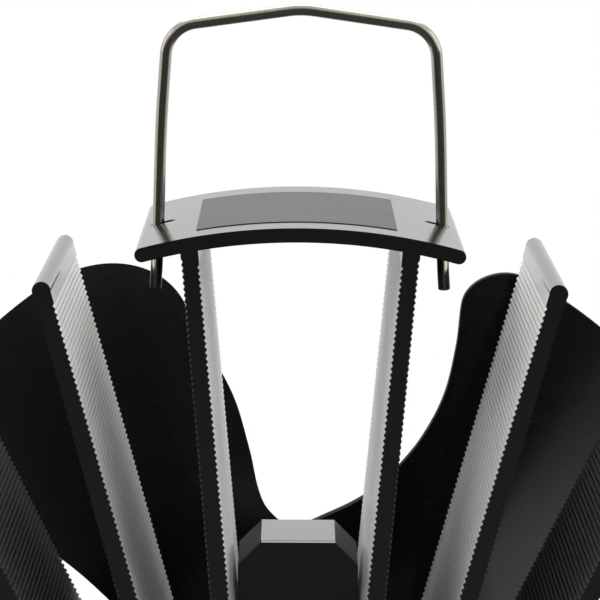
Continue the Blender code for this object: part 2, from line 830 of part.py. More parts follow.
def build_housing_cover():
    low = housing_low() + housing_tab_thickness + seat_gap
    cover = prism(housing_outline(0, low, 0), cover_front_y(), housing_back_y)
    cover = add_object("housing_cover", cover, "black_moulded")
    back = housing_back_y + cut_overrun
    front = cover_front_y() - cut_overrun
    half = lead_window_height / 2
    window = rectangle(lead_window_width / 2, lead_entry_z - half, lead_entry_z + half)
    holes = prism(rounded(window, lead_window_radius, 3), front, back)
    for _, x, z in cover_screw_places():
        join(holes, cylinder(cover_screw_radius + seat_gap, (x, front, z), back - front, (0, 1, 0), 12))
    cut(cover, holes)


# Motor

def build_motor_can():
    can = prism(can_outline(), can_front_y, can_back_y)
    can = add_object("motor_can", can, "zinc_steel")
    cut(can, prism(can_outline(-can_wall), can_front_y + can_wall, can_back_y + cut_overrun))
    start = (0, can_front_y + can_wall / 2, hub_z)
    fuse(can, cylinder(can_boss_radius, start, can_boss_length + can_wall / 2, (0, -1, 0), 24))
    bore = bearing_radius + seat_gap
    start = (0, can_front_y - can_boss_length + seat_gap, hub_z)
    length = can_boss_length + can_wall + cut_overrun
    holes = cylinder(bore, start, length, (0, 1, 0), 24)
    lip = shaft_radius + seat_gap
    start = (0, can_front_y - can_boss_length - cut_overrun, hub_z)
    join(holes, cylinder(lip, start, 2 * cut_overrun, (0, 1, 0), 24))
    cut(can, holes)


def armature_middle_y():
    return (can_front_y + can_back_y) / 2


def build_magnets():
    outer = magnet_outer_radius
    inner = outer - magnet_thickness
    low = armature_middle_y() - magnet_length / 2
    for place, middle in (("upper", math.pi / 2), ("lower", -math.pi / 2)):
        first, last = middle - magnet_half_angle, middle + magnet_half_angle
        outline = arc((0, hub_z), outer, first, last, 10) + arc((0, hub_z), inner, last, first, 10)
        add_object("motor_magnet_" + place, prism(outline, low, low + magnet_length), "ferrite")


def build_end_cap():
    low = can_back_y + seat_gap
    cap = prism(can_outline(), low, low + end_cap_thickness)
    cap = add_object("motor_end_cap", cap, "black_moulded")
    start = (0, low - cut_overrun, hub_z)
    holes = cylinder(bearing_radius + seat_gap, start, end_cap_thickness + 2 * cut_overrun, (0, 1, 0), 24)
    for side in (-1, 1):
        slot = rectangle(terminal_width / 2 + seat_gap, hub_z - terminal_thickness / 2 - seat_gap,
                         hub_z + terminal_thickness / 2 + seat_gap, side * terminal_x)
        join(holes, prism(slot, low - cut_overrun, low + end_cap_thickness + cut_overrun))
    cut(cap, holes)
    top = low + end_cap_thickness + terminal_length
    half = terminal_thickness / 2
    near = commutator_radius + seat_gap
    for name, side in (("left", -1), ("right", 1)):
        strip = rectangle(terminal_width / 2, hub_z - half, hub_z + half, side * terminal_x)
        add_object("motor_terminal_" + name, prism(strip, low - seat_gap, top), "brass")
        middle = side * (near + brush_thickness / 2)
        strip = rectangle(brush_thickness / 2, hub_z - brush_width, hub_z + brush_width, middle)
        brush = prism(strip, low - seat_gap - brush_length, low - seat_gap)
        add_object("motor_brush_" + name, brush, "copper")


def build_bearings():
    profile = sleeve(shaft_radius + seat_gap, bearing_radius, bearing_length)
    start = (0, can_front_y - can_boss_length + 2 * seat_gap, hub_z)
    add_object("front_bearing", turned(profile, start, (0, 1, 0), 24), "brass", True)
    start = (0, can_back_y + seat_gap, hub_z)
    add_object("rear_bearing", turned(profile, start, (0, 1, 0), 24), "brass", True)


def pole_outline(index):
    """One pole: a neck from the core to a curved shoe."""
    shoe_inner = armature_radius - pole_shoe_thickness
    neck_half = math.asin(pole_neck_width / 2 / shoe_inner)
    root_half = math.asin(pole_neck_width / 2 / armature_core_radius)
    shoe_half = math.pi / 3 - pole_slot_width / 2 / armature_radius
    middle = math.pi / 2 + index * math.tau / 3
    centre = (0, hub_z)
    outline = arc(centre, armature_radius, middle - shoe_half, middle + shoe_half, 10)
    outline += arc(centre, shoe_inner, middle + shoe_half, middle + neck_half, 4)
    outline += arc(centre, armature_core_radius, middle + root_half, middle + math.tau / 3 - root_half, 3)
    return outline


def core_outline():
    points = []
    for index in range(3):
        points += pole_outline(index)
        shoe_inner = armature_radius - pole_shoe_thickness
        neck_half = math.asin(pole_neck_width / 2 / shoe_inner)
        shoe_half = math.pi / 3 - pole_slot_width / 2 / armature_radius
        following = math.pi / 2 + (index + 1) * math.tau / 3
        points += arc((0, hub_z), shoe_inner, following - neck_half, following - shoe_half, 4)
    return points


def build_armature():
    middle = armature_middle_y()
    low = middle - armature_length / 2
    bore = arc((0, hub_z), shaft_radius + seat_gap, 0, math.tau, 16)[:-1]
    add_object("armature_core", prism(core_outline(), low, low + armature_length, [bore]), "zinc_steel")
    outer = armature_radius - pole_shoe_thickness - seat_gap
    inner = armature_core_radius + seat_gap
    for index in range(3):
        middle_angle = math.pi / 2 + (index + 0.5) * math.tau / 3
        wide = math.pi / 3 - math.asin((pole_neck_width / 2 + seat_gap) / outer)
        narrow = math.pi / 3 - math.asin((pole_neck_width / 2 + seat_gap) / inner)
        outline = arc((0, hub_z), outer, middle_angle - wide, middle_angle + wide, 6)
        outline += arc((0, hub_z), inner, middle_angle + narrow, middle_angle - narrow, 2)
        winding = prism(outline, low - winding_margin, low + armature_length + winding_margin)
        add_object(f"armature_winding_{index + 1}", winding, "copper")
    profile = sleeve(shaft_radius + seat_gap, commutator_radius, commutator_length)
    back = can_back_y - seat_gap
    add_object("commutator", turned(profile, (0, back, hub_z), (0, -1, 0), 18), "copper", True)


# Blades, hub and shaft

def edge_angle(table, share, radius, corner_radius, corner_length, sign):
    """Angle of a blade's edge, with the tip corner rounded off."""
    angle = math.radians(smooth_value(table, share))
    into = radius - (blade_radius - corner_radius)
    if into > 0:
        part = min(into / corner_radius, 1)
        angle -= sign * corner_length * (1 - math.sqrt(1 - part * part)) / radius
    return angle


def blade_lift(radius, angle):
    """How far the sheet stands behind the blade plane, at an angle from the blade's own radius."""
    share = min(max((radius - disc_radius) / (pitch_full_radius - disc_radius), 0), 1)
    ease = share * share * (3 - 2 * share)
    across = radius * math.sin(angle)
    span = blade_radius * math.sin(blade_pitch) * blade_camber_span_share
    bow = blade_camber * (1 - (across / span) ** 2)
    return ease * (-across * math.tan(blade_pitch) + bow)


def blade_point(radius, angle, blade_angle):
    """A point of the rotor sheet.

    Angles run from straight up and turn anticlockwise when the fan is seen from
    the front, which is clockwise from behind.
    """
    direction = blade_angle + angle
    x = -radius * math.sin(direction)
    z = hub_z + radius * math.cos(direction)
    return (x, blade_plane_y + blade_lift(radius, angle), z)


def rotor_rows():
    """Radius and the two edge angles of each row, from the hub hole to the tip."""
    rows = []
    first, last = math.radians(lead_edge_shares[0][1]), math.radians(trail_edge_shares[0][1])
    hole = hub_sleeve_radius + seat_gap
    for radius in (hole, (hole + disc_radius) / 2, disc_radius):
        rows.append((radius, first, last))
    for share in blade_row_shares:
        radius = valley_radius + (blade_radius - valley_radius) * share
        lead = edge_angle(lead_edge_shares, share, radius, lead_corner_radius, lead_corner_radius, -1)
        trail = edge_angle(trail_edge_shares, share, radius, trail_corner_radius, trail_corner_length, 1)
        rows.append((radius, lead, trail))
    return rows


def build_rotor():
    columns = 8
    bm = bmesh.new()
    for index in range(blade_count):
        blade_angle = math.tau * (index + 0.5) / blade_count
        grid = []
        for radius, first, last in rotor_rows():
            angles = [first + (last - first) * step / columns for step in range(columns + 1)]
            grid.append([bm.verts.new(blade_point(radius, angle, blade_angle)) for angle in angles])
        for row, following in zip(grid, grid[1:]):
            for step in range(columns):
                bm.faces.new((row[step], row[step + 1], following[step + 1], following[step]))
    rotor = add_object("rotor_blades", bm, "black_painted", True)
    solid = rotor.modifiers.new("sheet", "SOLIDIFY")
    solid.thickness = blade_thickness
    solid.offset = 0


def build_hub():
    half = blade_thickness / 2
    flange_front = blade_plane_y + half + seat_gap
    back = hub_boss_length + hub_flange_thickness
    front = -(blade_thickness + hub_nut_thickness + 2 * seat_gap + hub_sleeve_overhang)
    profile = [(hub_bore_radius, front), (hub_sleeve_radius, front), (hub_sleeve_radius, 0),
               (hub_flange_radius, 0), (hub_flange_radius, hub_flange_thickness),
               (hub_boss_radius, hub_flange_thickness), (hub_boss_radius, back), (hub_bore_radius, back)]
    hub = add_object("hub", turned(profile, (0, flange_front, hub_z), (0, 1, 0), 32), "brass", True)
    grub_y = flange_front + hub_flange_thickness + hub_boss_length / 2
    reach = hub_boss_radius + cut_overrun
    cut(hub, cylinder(grub_screw_radius + seat_gap, (0, grub_y, hub_z), reach, (0, 0, 1), 16))
    start = shaft_radius + seat_gap
    length = hub_boss_radius - start
    grub = cylinder(grub_screw_radius, (0, grub_y, hub_z + start), length, (0, 0, 1), 16)
    add_object("hub_grub_screw", grub, "zinc_steel", True)
    nut_back = blade_plane_y - half - seat_gap
    corner = hub_nut_width / math.sqrt(3)
    outline = arc((0, hub_z), corner, 0, math.tau, 6)[:-1]
    bore = arc((0, hub_z), hub_sleeve_radius + seat_gap, 0, math.tau, 24)[:-1]
    nut = prism(outline, nut_back - hub_nut_thickness, nut_back, [bore])
    add_object("hub_nut", nut, "brass")


def shaft_ends():
    back = can_back_y + seat_gap + end_cap_thickness
    front = blade_plane_y - blade_thickness / 2 - hub_nut_thickness
    return back, front


def build_shaft():
    back, front = shaft_ends()
    shaft = cylinder(shaft_radius, (0, back, hub_z), back - front, (0, -1, 0), 20)
    add_object("motor_shaft", shaft, "zinc_steel", True)


# Wire handle

def leg_points():
    """Centre line of one leg from the foot upwards, as (x, z)."""
    return [(handle_foot_x, apex_z - handle_foot_drop),
            ((handle_foot_x + handle_plate_x) / 2, (plate_level() + apex_z - handle_foot_drop) / 2),
            (handle_plate_x, plate_level() + arch_thickness),
            (handle_mid_x, apex_z + handle_mid_rise),
            (handle_shoulder_x, handle_shoulder_z)]


def leg_x(z):
    return smooth_value([(height, x) for x, height in leg_points()], z)


def handle_path():
    """Centre line of the whole wire, from one foot to the other."""
    leg = leg_points()
    steps = 14
    low, high = leg[0][1], leg[-1][1]
    points = []
    for step in range(steps + 1):
        z = low + (high - low) * step / steps
        points.append((leg_x(z), z))
    centre_x = handle_shoulder_x - handle_corner_radius * math.cos(handle_leg_lean)
    centre_z = handle_shoulder_z - handle_corner_radius * math.sin(handle_leg_lean)
    bar_turn = math.pi / 2 - handle_bar_slope
    points += arc((centre_x, centre_z), handle_corner_radius, handle_leg_lean, bar_turn, 6)[1:]
    peak_centre_z = apex_z + handle_peak_rise - handle_peak_radius
    points += arc((0, peak_centre_z), handle_peak_radius, bar_turn, math.pi / 2, 2)
    return points + [(-x, z) for x, z in reversed(points[:-1])]


def wire_rings(path, sides):
    """Oval rings along the wire: round, and pinched flat over the crimped feet."""
    rings = []
    foot = path[0][1]
    count = len(path)
    for index, (x, z) in enumerate(path):
        before = Vector(path[max(index - 1, 0)])
        after = Vector(path[min(index + 1, count - 1)])
        along = (after - before).normalized()
        share = min(max((crimp_length - (z - foot)) / (crimp_length / 2), 0), 1)
        wide = wire_radius + (crimp_half_width - wire_radius) * share
        deep = wire_radius + (crimp_half_depth - wire_radius) * share
        ring = []
        for side in range(sides):
            angle = math.tau * side / sides
            a, b = wide * math.cos(angle), deep * math.sin(angle)
            ring.append((x - along.y * a, handle_y + b, z + along.x * a))
        rings.append(ring)
    return rings


def build_handle():
    bm = bmesh.new()
    rings = [[bm.verts.new(point) for point in ring] for ring in wire_rings(handle_path(), 12)]
    for ring, following in zip(rings, rings[1:]):
        for side in range(len(ring)):
            ahead = (side + 1) % len(ring)
            bm.faces.new((ring[side], ring[ahead], following[ahead], following[side]))
    bm.faces.new(rings[0])
    bm.faces.new(rings[-1])
    add_object("wire_handle", bm, "stainless", True)


# Label

def build_label():
    low = arch_radius + seat_gap
    high = low + label_thickness
    half = math.asin(label_width / 2 / low)
    shift = math.asin(label_shift_x / low)
    first, last = math.pi / 2 - half - shift, math.pi / 2 + half - shift
    centre = (0, arch_centre_z)
    outline = arc(centre, high, first, last, 16) + arc(centre, low, last, first, 16)
    start = label_shift_y - label_length / 2
    add_object("rating_label", prism(outline, start, start + label_length), "label_film")


# Leads

def lead_path(side):
    """Route of one lead: off the module, up through the platform, and into the housing."""
    module_edge = module_width / 2
    x = side * lead_spacing / 2
    module_level = hot_plate_z + ceramic_thickness + seat_gap + lead_radius
    under = (module_level + sink_z) / 2
    level = lead_entry_z
    hole = lead_hole_y
    tab_y = module_edge + seat_gap + lead_radius
    back = housing_back_y
    terminal_y = can_back_y + seat_gap + end_cap_thickness + terminal_length
    terminal_low = hub_z - terminal_thickness / 2 - seat_gap
    gathered = side * (grommet_inner_radius() - lead_radius - lead_grommet_gap)
    bent = (x + gathered) / 2
    near_x = side * terminal_x * lead_turn_share
    return [(x, tab_y, module_level),
            (x, (tab_y + hole) / 2, module_level),
            (bent, hole - lead_radius / 2, under),
            (gathered, hole, sink_z + platform_thickness * lead_hole_share),
            (gathered, hole, platform_z + lead_radius),
            (bent, hole - lead_radius * lead_bend_share, level - lead_radius),
            (x, (hole + back) / 2, level),
            (x, back, level),
            (near_x, terminal_y + 2 * lead_radius, level + lead_radius),
            (side * terminal_x, terminal_y - lead_radius, terminal_low - lead_radius)]


def lead_points(route, per_span):
    """A smooth curve read through the route's points."""
    places = [Vector(place) for place in route]
    count = len(places)
    points = []
    for index in range(count - 1):
        before = places[max(index - 1, 0)]
        here, there = places[index], places[index + 1]
        after = places[min(index + 2, count - 1)]
        for step in range(per_span):
            t = step / per_span
            linear = (there - before) * t
            square = (2 * before - 5 * here + 4 * there - after) * t ** 2
            cubic = (3 * here - before - 3 * there + after) * t ** 3
            points.append(here + (linear + square + cubic) / 2)
    points.append(places[-1])
    return points


def build_lead(name, side, finish):
    curve = bpy.data.curves.new(name, "CURVE")
    curve.dimensions = "3D"
    curve.bevel_depth = lead_radius
    curve.bevel_resolution = 2
    curve.use_fill_caps = True
    spline = curve.splines.new("POLY")
    points = lead_points(lead_path(side), 3)
    spline.points.add(len(points) - 1)
    for point, place in zip(spline.points, points):
        point.co = (*place, 1)
    made = bpy.data.objects.new(name, curve)
    bpy.context.collection.objects.link(made)
    made.data.materials.append(material(finish))


def grommet_inner_radius():
    return lead_hole_radius - seat_gap - grommet_wall


def build_grommet():
    outer = lead_hole_radius - seat_gap
    inner = grommet_inner_radius()
    wide = lead_hole_radius + grommet_flange_width
    top = platform_z - sink_z
    high = top + seat_gap + grommet_flange_thickness
    ledge = top + seat_gap
    profile = [(inner, 0), (outer, 0), (outer, ledge), (wide, ledge), (wide, high), (inner, high)]
    add_object("lead_grommet", turned(profile, (0, lead_hole_y, sink_z), (0, 0, 1), 24), "black_silicone", True)


def build_all():
    clear_objects()
    build_base()
    build_module()
    build_heat_sink()
    build_clamp_screws()
    build_housing()
    build_housing_cover()
    build_housing_fasteners()
    build_motor_can()
    build_magnets()
    build_end_cap()
    build_bearings()
    build_armature()
    build_shaft()
    build_rotor()
    build_hub()
    build_handle()
    build_label()
    build_lead("lead_red", 1, "red_silicone")
    build_lead("lead_black", -1, "black_silicone")
    build_grommet()


build_all()
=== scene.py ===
import math

import bmesh
import bpy
from mathutils import Matrix, Vector


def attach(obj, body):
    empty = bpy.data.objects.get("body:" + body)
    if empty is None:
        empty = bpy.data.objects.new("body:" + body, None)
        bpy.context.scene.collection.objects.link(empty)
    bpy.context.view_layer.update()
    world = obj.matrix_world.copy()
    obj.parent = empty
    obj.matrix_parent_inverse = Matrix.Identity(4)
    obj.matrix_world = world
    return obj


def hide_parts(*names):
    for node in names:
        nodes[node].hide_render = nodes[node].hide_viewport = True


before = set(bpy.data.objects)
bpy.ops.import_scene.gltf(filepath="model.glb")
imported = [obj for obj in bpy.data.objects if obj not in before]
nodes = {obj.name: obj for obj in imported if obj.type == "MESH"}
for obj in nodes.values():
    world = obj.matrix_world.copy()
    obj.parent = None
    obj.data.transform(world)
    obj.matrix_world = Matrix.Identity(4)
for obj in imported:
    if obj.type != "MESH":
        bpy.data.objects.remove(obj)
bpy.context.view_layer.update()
mm = 0.001

print("stove fan: frame loaded")


# Colours and nodes

# sRGB hex to linear
def linear(hexColour):
    channels = []
    for start in (0, 2, 4):
        value = int(hexColour[start:start + 2], 16) / 255
        channels.append(value / 12.92 if value <= 0.04045 else ((value + 0.055) / 1.055) ** 2.4)
    return (*channels, 1.0)


def addNode(tree, kind, settings=(), links=()):
    node = tree.nodes.new(kind)
    for name, value in dict(settings).items():
        if isinstance(name, str) and name in node.bl_rna.properties:
            setattr(node, name, value)
        else:
            node.inputs[name].default_value = value
    for name, source in dict(links).items():
        tree.links.new(source, node.inputs[name])
    return node


def newMaterial(name, settings):
    made = bpy.data.materials.new(name)
    made.use_nodes = True
    shader = made.node_tree.nodes["Principled BSDF"]
    for socket, value in settings.items():
        shader.inputs[socket].default_value = value
    return made.node_tree, shader, made


# Finishes. grain is the size of the pattern in mm along X, Y and Z, bump its height in mm, tint the
# colour that it mixes in, and rough the lowest and highest roughness. along is a painted sheen: a pale
# colour mixed into the base where the surface is seen at a grazing angle, standing in for its reflection.
# steep is the roughness where a face doesn't look up, and coat a clear coat's weight and
# roughness. Die lines, saw marks and tool rings are finer on the real pieces, and are drawn as coarse
# as they need to show.
finishes = {
    # black dyed oxide on extruded aluminium: smooth and black, a pale mirror where it is seen
    # along the surface, fine die lines along the extrusion
    "anodisedAluminiumExtruded": {
        "colour": "0f0f10", "tint": "131314", "metallic": 0.0, "ior": 1.74, "rough": (0.12, 0.17),
        "grain": (0.22, 30.0, 0.22), "bump": 0.003,
    },
    # the same oxide on the cut teeth: matt black from the front, with a painted sheen of silver grey mixed
    # into its colour where seen along the surface, standing in for its grazing reflection
    "anodisedAluminiumSerratedPaintedSheen": {
        "colour": "0c0c0d", "tint": "101011", "metallic": 0.0, "ior": 1.45, "rough": (0.26, 0.36),
        "grain": (0.22, 30.0, 0.22), "bump": 0.006, "along": "dadad6",
    },
    # the same teeth on the side fins and on upward flanks of outer faces: a dimmer, dark grey painted sheen,
    # standing in for the shade these faces sit in; fine lines
    "anodisedAluminiumShadedTeethPaintedSheen": {
        "colour": "0c0c0d", "tint": "101011", "metallic": 0.0, "ior": 1.60, "rough": (0.26, 0.36),
        "grain": (0.22, 30.0, 0.22), "bump": 0.006, "along": "4c4e50",
    },
    # black lacquer on pressed aluminium sheet: half gloss with a little orange peel
    "lacqueredAluminiumPressed": {
        "colour": "1a1a1b", "tint": "1e1e20", "metallic": 0.0, "ior": 1.50, "rough": (0.24, 0.30),
        "grain": (2.4, 2.4, 2.4), "bump": 0.004,
    },
    # the same lacquer where it has pulled thin over the cut edge: dull, so that no bright line shows
    "lacqueredAluminiumCutEdge": {
        "colour": "151515", "tint": "1b1b1b", "metallic": 0.0, "ior": 1.30, "rough": (0.55, 0.70),
        "grain": (0.3, 0.3, 0.3), "bump": 0.01,
    },
    # drawn and polished stainless wire: bright, a little warm, fine lines along the wire
    "stainlessSteelDrawn": {
        "colour": "b4b0a6", "tint": "9a968b", "metallic": 1.0, "rough": (0.14, 0.26),
        "grain": (0.25, 0.25, 7.0), "bump": 0.002,
    },
    # dark grey polyester film: flat, with the fine tooth of its top coat
    "polyesterFilmPrinted": {
        "colour": "2a2a2c", "tint": "303032", "metallic": 0.0, "ior": 1.50, "rough": (0.42, 0.52),
        "grain": (0.5, 0.5, 0.5), "bump": 0.004,
    },
    # glass-filled nylon, moulded: black with a fine grain, polished on top and satin on its sides
    "glassFilledNylonMoulded": {
        "colour": "111112", "tint": "161617", "metallic": 0.0, "ior": 1.62, "rough": (0.08, 0.12),
        "grain": (0.35, 0.35, 0.35), "bump": 0.001, "steep": 0.5, "coat": (0.8, 0.40),
    },
    # bright zinc plate on steel: cool silver with a slightly cloudy passivation
    "steelZincPlated": {
        "colour": "b4b7bb", "tint": "9fa4ab", "metallic": 1.0, "rough": (0.24, 0.40),
        "grain": (1.1, 1.1, 1.1), "bump": 0.003,
    },
    # ground steel shaft: bright, rings of grinding round it
    "steelGround": {
        "colour": "c2c3c5", "tint": "aeb0b3", "metallic": 1.0, "rough": (0.14, 0.26),
        "grain": (3.0, 0.12, 3.0), "bump": 0.002,
    },
    # laminated silicon steel: dull grey-blue edges of stacked sheets
    "siliconSteelStacked": {
        "colour": "6d7075", "tint": "4c4f55", "metallic": 1.0, "rough": (0.36, 0.52),
        "grain": (6.0, 0.5, 6.0), "bump": 0.02,
    },
    # brass, turned: warm yellow with tool rings
    "brassTurned": {
        "colour": "cdaa5c", "tint": "b8924a", "metallic": 1.0, "rough": (0.20, 0.34),
        "grain": (2.5, 0.25, 2.5), "bump": 0.003,
    },
    # enamelled copper wire and bare copper: orange-red, wound lines
    "copperEnamelled": {
        "colour": "b5683f", "tint": "8f4d2c", "metallic": 1.0, "rough": (0.26, 0.42),
        "grain": (0.3, 5.0, 0.3), "bump": 0.02,
    },
    # fired alumina: chalk white, dry, very fine pores
    "aluminaFired": {
        "colour": "e4e1da", "tint": "d6d2c8", "metallic": 0.0, "ior": 1.76, "rough": (0.50, 0.64),
        "grain": (0.4, 0.4, 0.4), "bump": 0.006,
    },
    # bismuth telluride, sawn: grey metal with dull saw faces
    "bismuthTellurideSawn": {
        "colour": "85868c", "tint": "6a6b73", "metallic": 1.0, "rough": (0.40, 0.55),
        "grain": (0.3, 0.3, 2.0), "bump": 0.006,
    },
    # expanded graphite sheet: soft black-grey with a pressed, flaky surface
    "graphiteSheetPressed": {
        "colour": "343438", "tint": "222226", "metallic": 0.0, "ior": 1.60, "rough": (0.42, 0.60),
        "grain": (0.8, 0.8, 0.3), "bump": 0.01,
    },
    # room-temperature silicone bead: milky white, rubbery
    "siliconeBead": {
        "colour": "d9d8d2", "tint": "cfcdc4", "metallic": 0.0, "ior": 1.41, "rough": (0.44, 0.56),
        "grain": (1.2, 1.2, 1.2), "bump": 0.02,
    },
    # extruded silicone sleeve of the red lead: plain red, rubbery satin
    "siliconeSleeveRed": {
        "colour": "a4241c", "tint": "921d17", "metallic": 0.0, "ior": 1.41, "rough": (0.40, 0.52),
        "grain": (0.9, 0.9, 0.9), "bump": 0.006,
    },
    # the same sleeve on the black lead, and the moulded grommet: black, rubbery satin
    "siliconeSleeveBlack": {
        "colour": "19191a", "tint": "212122", "metallic": 0.0, "ior": 1.41, "rough": (0.42, 0.54),
        "grain": (0.9, 0.9, 0.9), "bump": 0.006,
    },
    # sintered ferrite: dark grey, stony
    "ferriteSintered": {
        "colour": "2c2c2e", "tint": "242426", "metallic": 0.0, "ior": 2.0, "rough": (0.50, 0.64),
        "grain": (0.5, 0.5, 0.5), "bump": 0.01,
    },
}

# how all finishes draw their pattern
patternValues = {
    "grainDetail": 3.0, "grainRoughness": 0.55,
    "cloudSize": 30.0, "cloudDetail": 2.0,       # slow change in mm: handling, dye and light wear
    "mixFrom": 0.6, "mixTo": 1.4,                # grain and cloud together, from colour to tint
    "upFrom": 0.80, "upTo": 0.95,                # how far a face looks up, from steep to rough
    # facing is the Layer Weight blend, and the two after it the grazing at which the painted sheen starts and
    # where it is full
    "facing": 0.5, "alongFrom": 0.45, "alongTo": 0.75,
}


def makeFinish(name, pattern):
    values = finishes[name]
    constants = {"Metallic": values["metallic"]}
    if "ior" in values:
        constants["IOR"] = values["ior"]
    if "coat" in values:
        constants["Coat Weight"], constants["Coat Roughness"] = values["coat"]
    tree, shader, made = newMaterial(name, constants)

    # fine grain and slow cloud, mixed
    place = addNode(tree, "ShaderNodeTexCoord")
    scale = tuple(1 / (size * mm) for size in values["grain"])
    stretched = addNode(tree, "ShaderNodeMapping", {"Scale": scale}, {"Vector": place.outputs["Object"]})
    grain = addNode(tree, "ShaderNodeTexNoise",
                    {"Scale": 1.0, "Detail": pattern["grainDetail"], "Roughness": pattern["grainRoughness"]},
                    {"Vector": stretched.outputs["Vector"]})
    cloud = addNode(tree, "ShaderNodeTexNoise",
                    {"Scale": 1 / (pattern["cloudSize"] * mm), "Detail": pattern["cloudDetail"]},
                    {"Vector": place.outputs["Object"]})
    both = addNode(tree, "ShaderNodeMath", {"operation": "ADD"},
                   {0: grain.outputs[0], 1: cloud.outputs[0]})
    share = addNode(tree, "ShaderNodeMapRange",
                    {"From Min": pattern["mixFrom"], "From Max": pattern["mixTo"]},
                    {"Value": both.outputs[0]})

    colour = addNode(tree, "ShaderNodeMix",
                     {"data_type": "RGBA", 6: linear(values["colour"]), 7: linear(values["tint"])},
                     {0: share.outputs["Result"]})
    # painted sheen: the colour turns towards along where the surface is seen at a grazing angle, standing in
    # for a reflection
    if "along" in values:
        facing = addNode(tree, "ShaderNodeLayerWeight", {"Blend": pattern["facing"]})
        rise = addNode(tree, "ShaderNodeMapRange",
                       {"interpolation_type": "SMOOTHSTEP",
                        "From Min": pattern["alongFrom"], "From Max": pattern["alongTo"]},
                       {"Value": facing.outputs["Facing"]})
        colour = addNode(tree, "ShaderNodeMix", {"data_type": "RGBA", 7: linear(values["along"])},
                         {0: rise.outputs["Result"], 6: colour.outputs[2]})

    low, high = values["rough"]
    rough = addNode(tree, "ShaderNodeMapRange", {"To Min": low, "To Max": high},
                    {"Value": share.outputs["Result"]})
    if "steep" in values:
        surface = addNode(tree, "ShaderNodeNewGeometry")
        parts = addNode(tree, "ShaderNodeSeparateXYZ", {}, {"Vector": surface.outputs["Normal"]})
        rough = addNode(tree, "ShaderNodeMapRange",
                        {"From Min": pattern["upFrom"], "From Max": pattern["upTo"],
                         "To Min": values["steep"]},
                        {"Value": parts.outputs["Z"], "To Max": rough.outputs["Result"]})

    bump = addNode(tree, "ShaderNodeBump", {"Distance": values["bump"] * mm, "Strength": 1.0},
                   {"Height": grain.outputs[0]})
    tree.links.new(colour.outputs[2], shader.inputs["Base Color"])
    tree.links.new(rough.outputs["Result"], shader.inputs["Roughness"])
    tree.links.new(bump.outputs["Normal"], shader.inputs["Normal"])
    return made


materials = {name: makeFinish(name, patternValues) for name in finishes}
print("finishes made:", len(materials))


# Shared shapes

meshValues = {
    "joinWithin": 0.0005 * mm, "weldWithin": 0.001 * mm,
    "roundSteps": 2, "roundFrom": 40,            # an edge is rounded where it turns by this many degrees
}


def smoothFaces(mesh, degrees):
    mesh.shade_smooth()
    mesh.set_sharp_from_angle(angle=math.radians(degrees))


def addMesh(name, bm, smoothAngle=None):
    bmesh.ops.remove_doubles(bm, verts=bm.verts, dist=meshValues["joinWithin"])
    bmesh.ops.recalc_face_normals(bm, faces=bm.faces)
    mesh = bpy.data.meshes.new(name)
    bm.to_mesh(mesh)
    bm.free()
    if smoothAngle:
        smoothFaces(mesh, smoothAngle)
    made = bpy.data.objects.new(name, mesh)
    bpy.context.scene.collection.objects.link(made)
    return made


def addTo(bm, other):
    mesh = bpy.data.meshes.new("joined")
    other.to_mesh(mesh)
    other.free()
    bm.from_mesh(mesh)
    bpy.data.meshes.remove(mesh)


def arc(centre, radius, start, end, steps):
    points = []
    for step in range(steps + 1):
        angle = start + (end - start) * step / steps
        points.append((centre[0] + radius * math.cos(angle), centre[1] + radius * math.sin(angle)))
    return points


def mirrored(points):
    return [(-x, z) for x, z in reversed(points)]


# outline in X and Z drawn out along Y, or in X and Y drawn up along Z
def prism(outline, start, end, holes=(), axis="Y"):
    bm = bmesh.new()
    edges = []
    for loop in (outline, *holes):
        verts = [bm.verts.new((a, start, b) if axis == "Y" else (a, b, start)) for a, b in loop]
        edges += [bm.edges.new((vert, verts[(index + 1) % len(verts)])) for index, vert in enumerate(verts)]
    filled = bmesh.ops.triangle_fill(bm, edges=edges, use_beauty=True)
    faces = [item for item in filled["geom"] if isinstance(item, bmesh.types.BMFace)]
    grown = bmesh.ops.extrude_face_region(bm, geom=faces, use_keep_orig=True)
    moved = [item for item in grown["geom"] if isinstance(item, bmesh.types.BMVert)]
    shift = (0, end - start, 0) if axis == "Y" else (0, 0, end - start)
    bmesh.ops.translate(bm, verts=moved, vec=shift)
    return bm


# smooth curve through a table of places and values
def smoothValue(table, place):
    last = len(table) - 1
    index = 0
    while index < last - 1 and place > table[index + 1][0]:
        index += 1
    (x0, y0), (x1, y1) = table[index], table[index + 1]

    def slope(k):
        low, high = max(k - 1, 0), min(k + 1, last)
        return (table[high][1] - table[low][1]) / (table[high][0] - table[low][0])

    width = x1 - x0
    t = (place - x0) / width
    start = (1 + 2 * t) * (1 - t) ** 2 * y0 + t * (1 - t) ** 2 * width * slope(index)
    return start + t * t * (3 - 2 * t) * y1 + t * t * (t - 1) * width * slope(index + 1)


# from 0 to 1, soft at both ends
def eased(share):
    share = min(max(share, 0), 1)
    return share * share * (3 - 2 * share)


def applyModifiers(made):
    graph = bpy.context.evaluated_depsgraph_get()
    mesh = bpy.data.meshes.new_from_object(made.evaluated_get(graph))
    made.modifiers.clear()
    made.data = mesh


def cutAway(made, bm):
    cutter = addMesh(made.name + "Cutter", bm)
    step = made.modifiers.new("cut", "BOOLEAN")
    step.operation = "DIFFERENCE"
    step.solver = "EXACT"
    step.object = cutter
    applyModifiers(made)
    bpy.data.objects.remove(cutter)


def roundEdges(made, width, angle=meshValues["roundFrom"]):
    weld = made.modifiers.new("weld", "WELD")
    weld.merge_threshold = meshValues["weldWithin"]
    bevel = made.modifiers.new("edges", "BEVEL")
    bevel.width = width
    bevel.segments = meshValues["roundSteps"]
    bevel.limit_method = "ANGLE"
    bevel.angle_limit = math.radians(angle)
    bevel.harden_normals = True


# Camera

cameraValues = {
    "place": (1.41 * mm, 652.25 * mm, 299.58 * mm),
    "pitch": 8.920, "yaw": 0.130, "roll": 0.382,   # degrees off level and straight along -Y
    "lens": 198.0, "sensor": 36.0, "clipStart": 0.01,
}


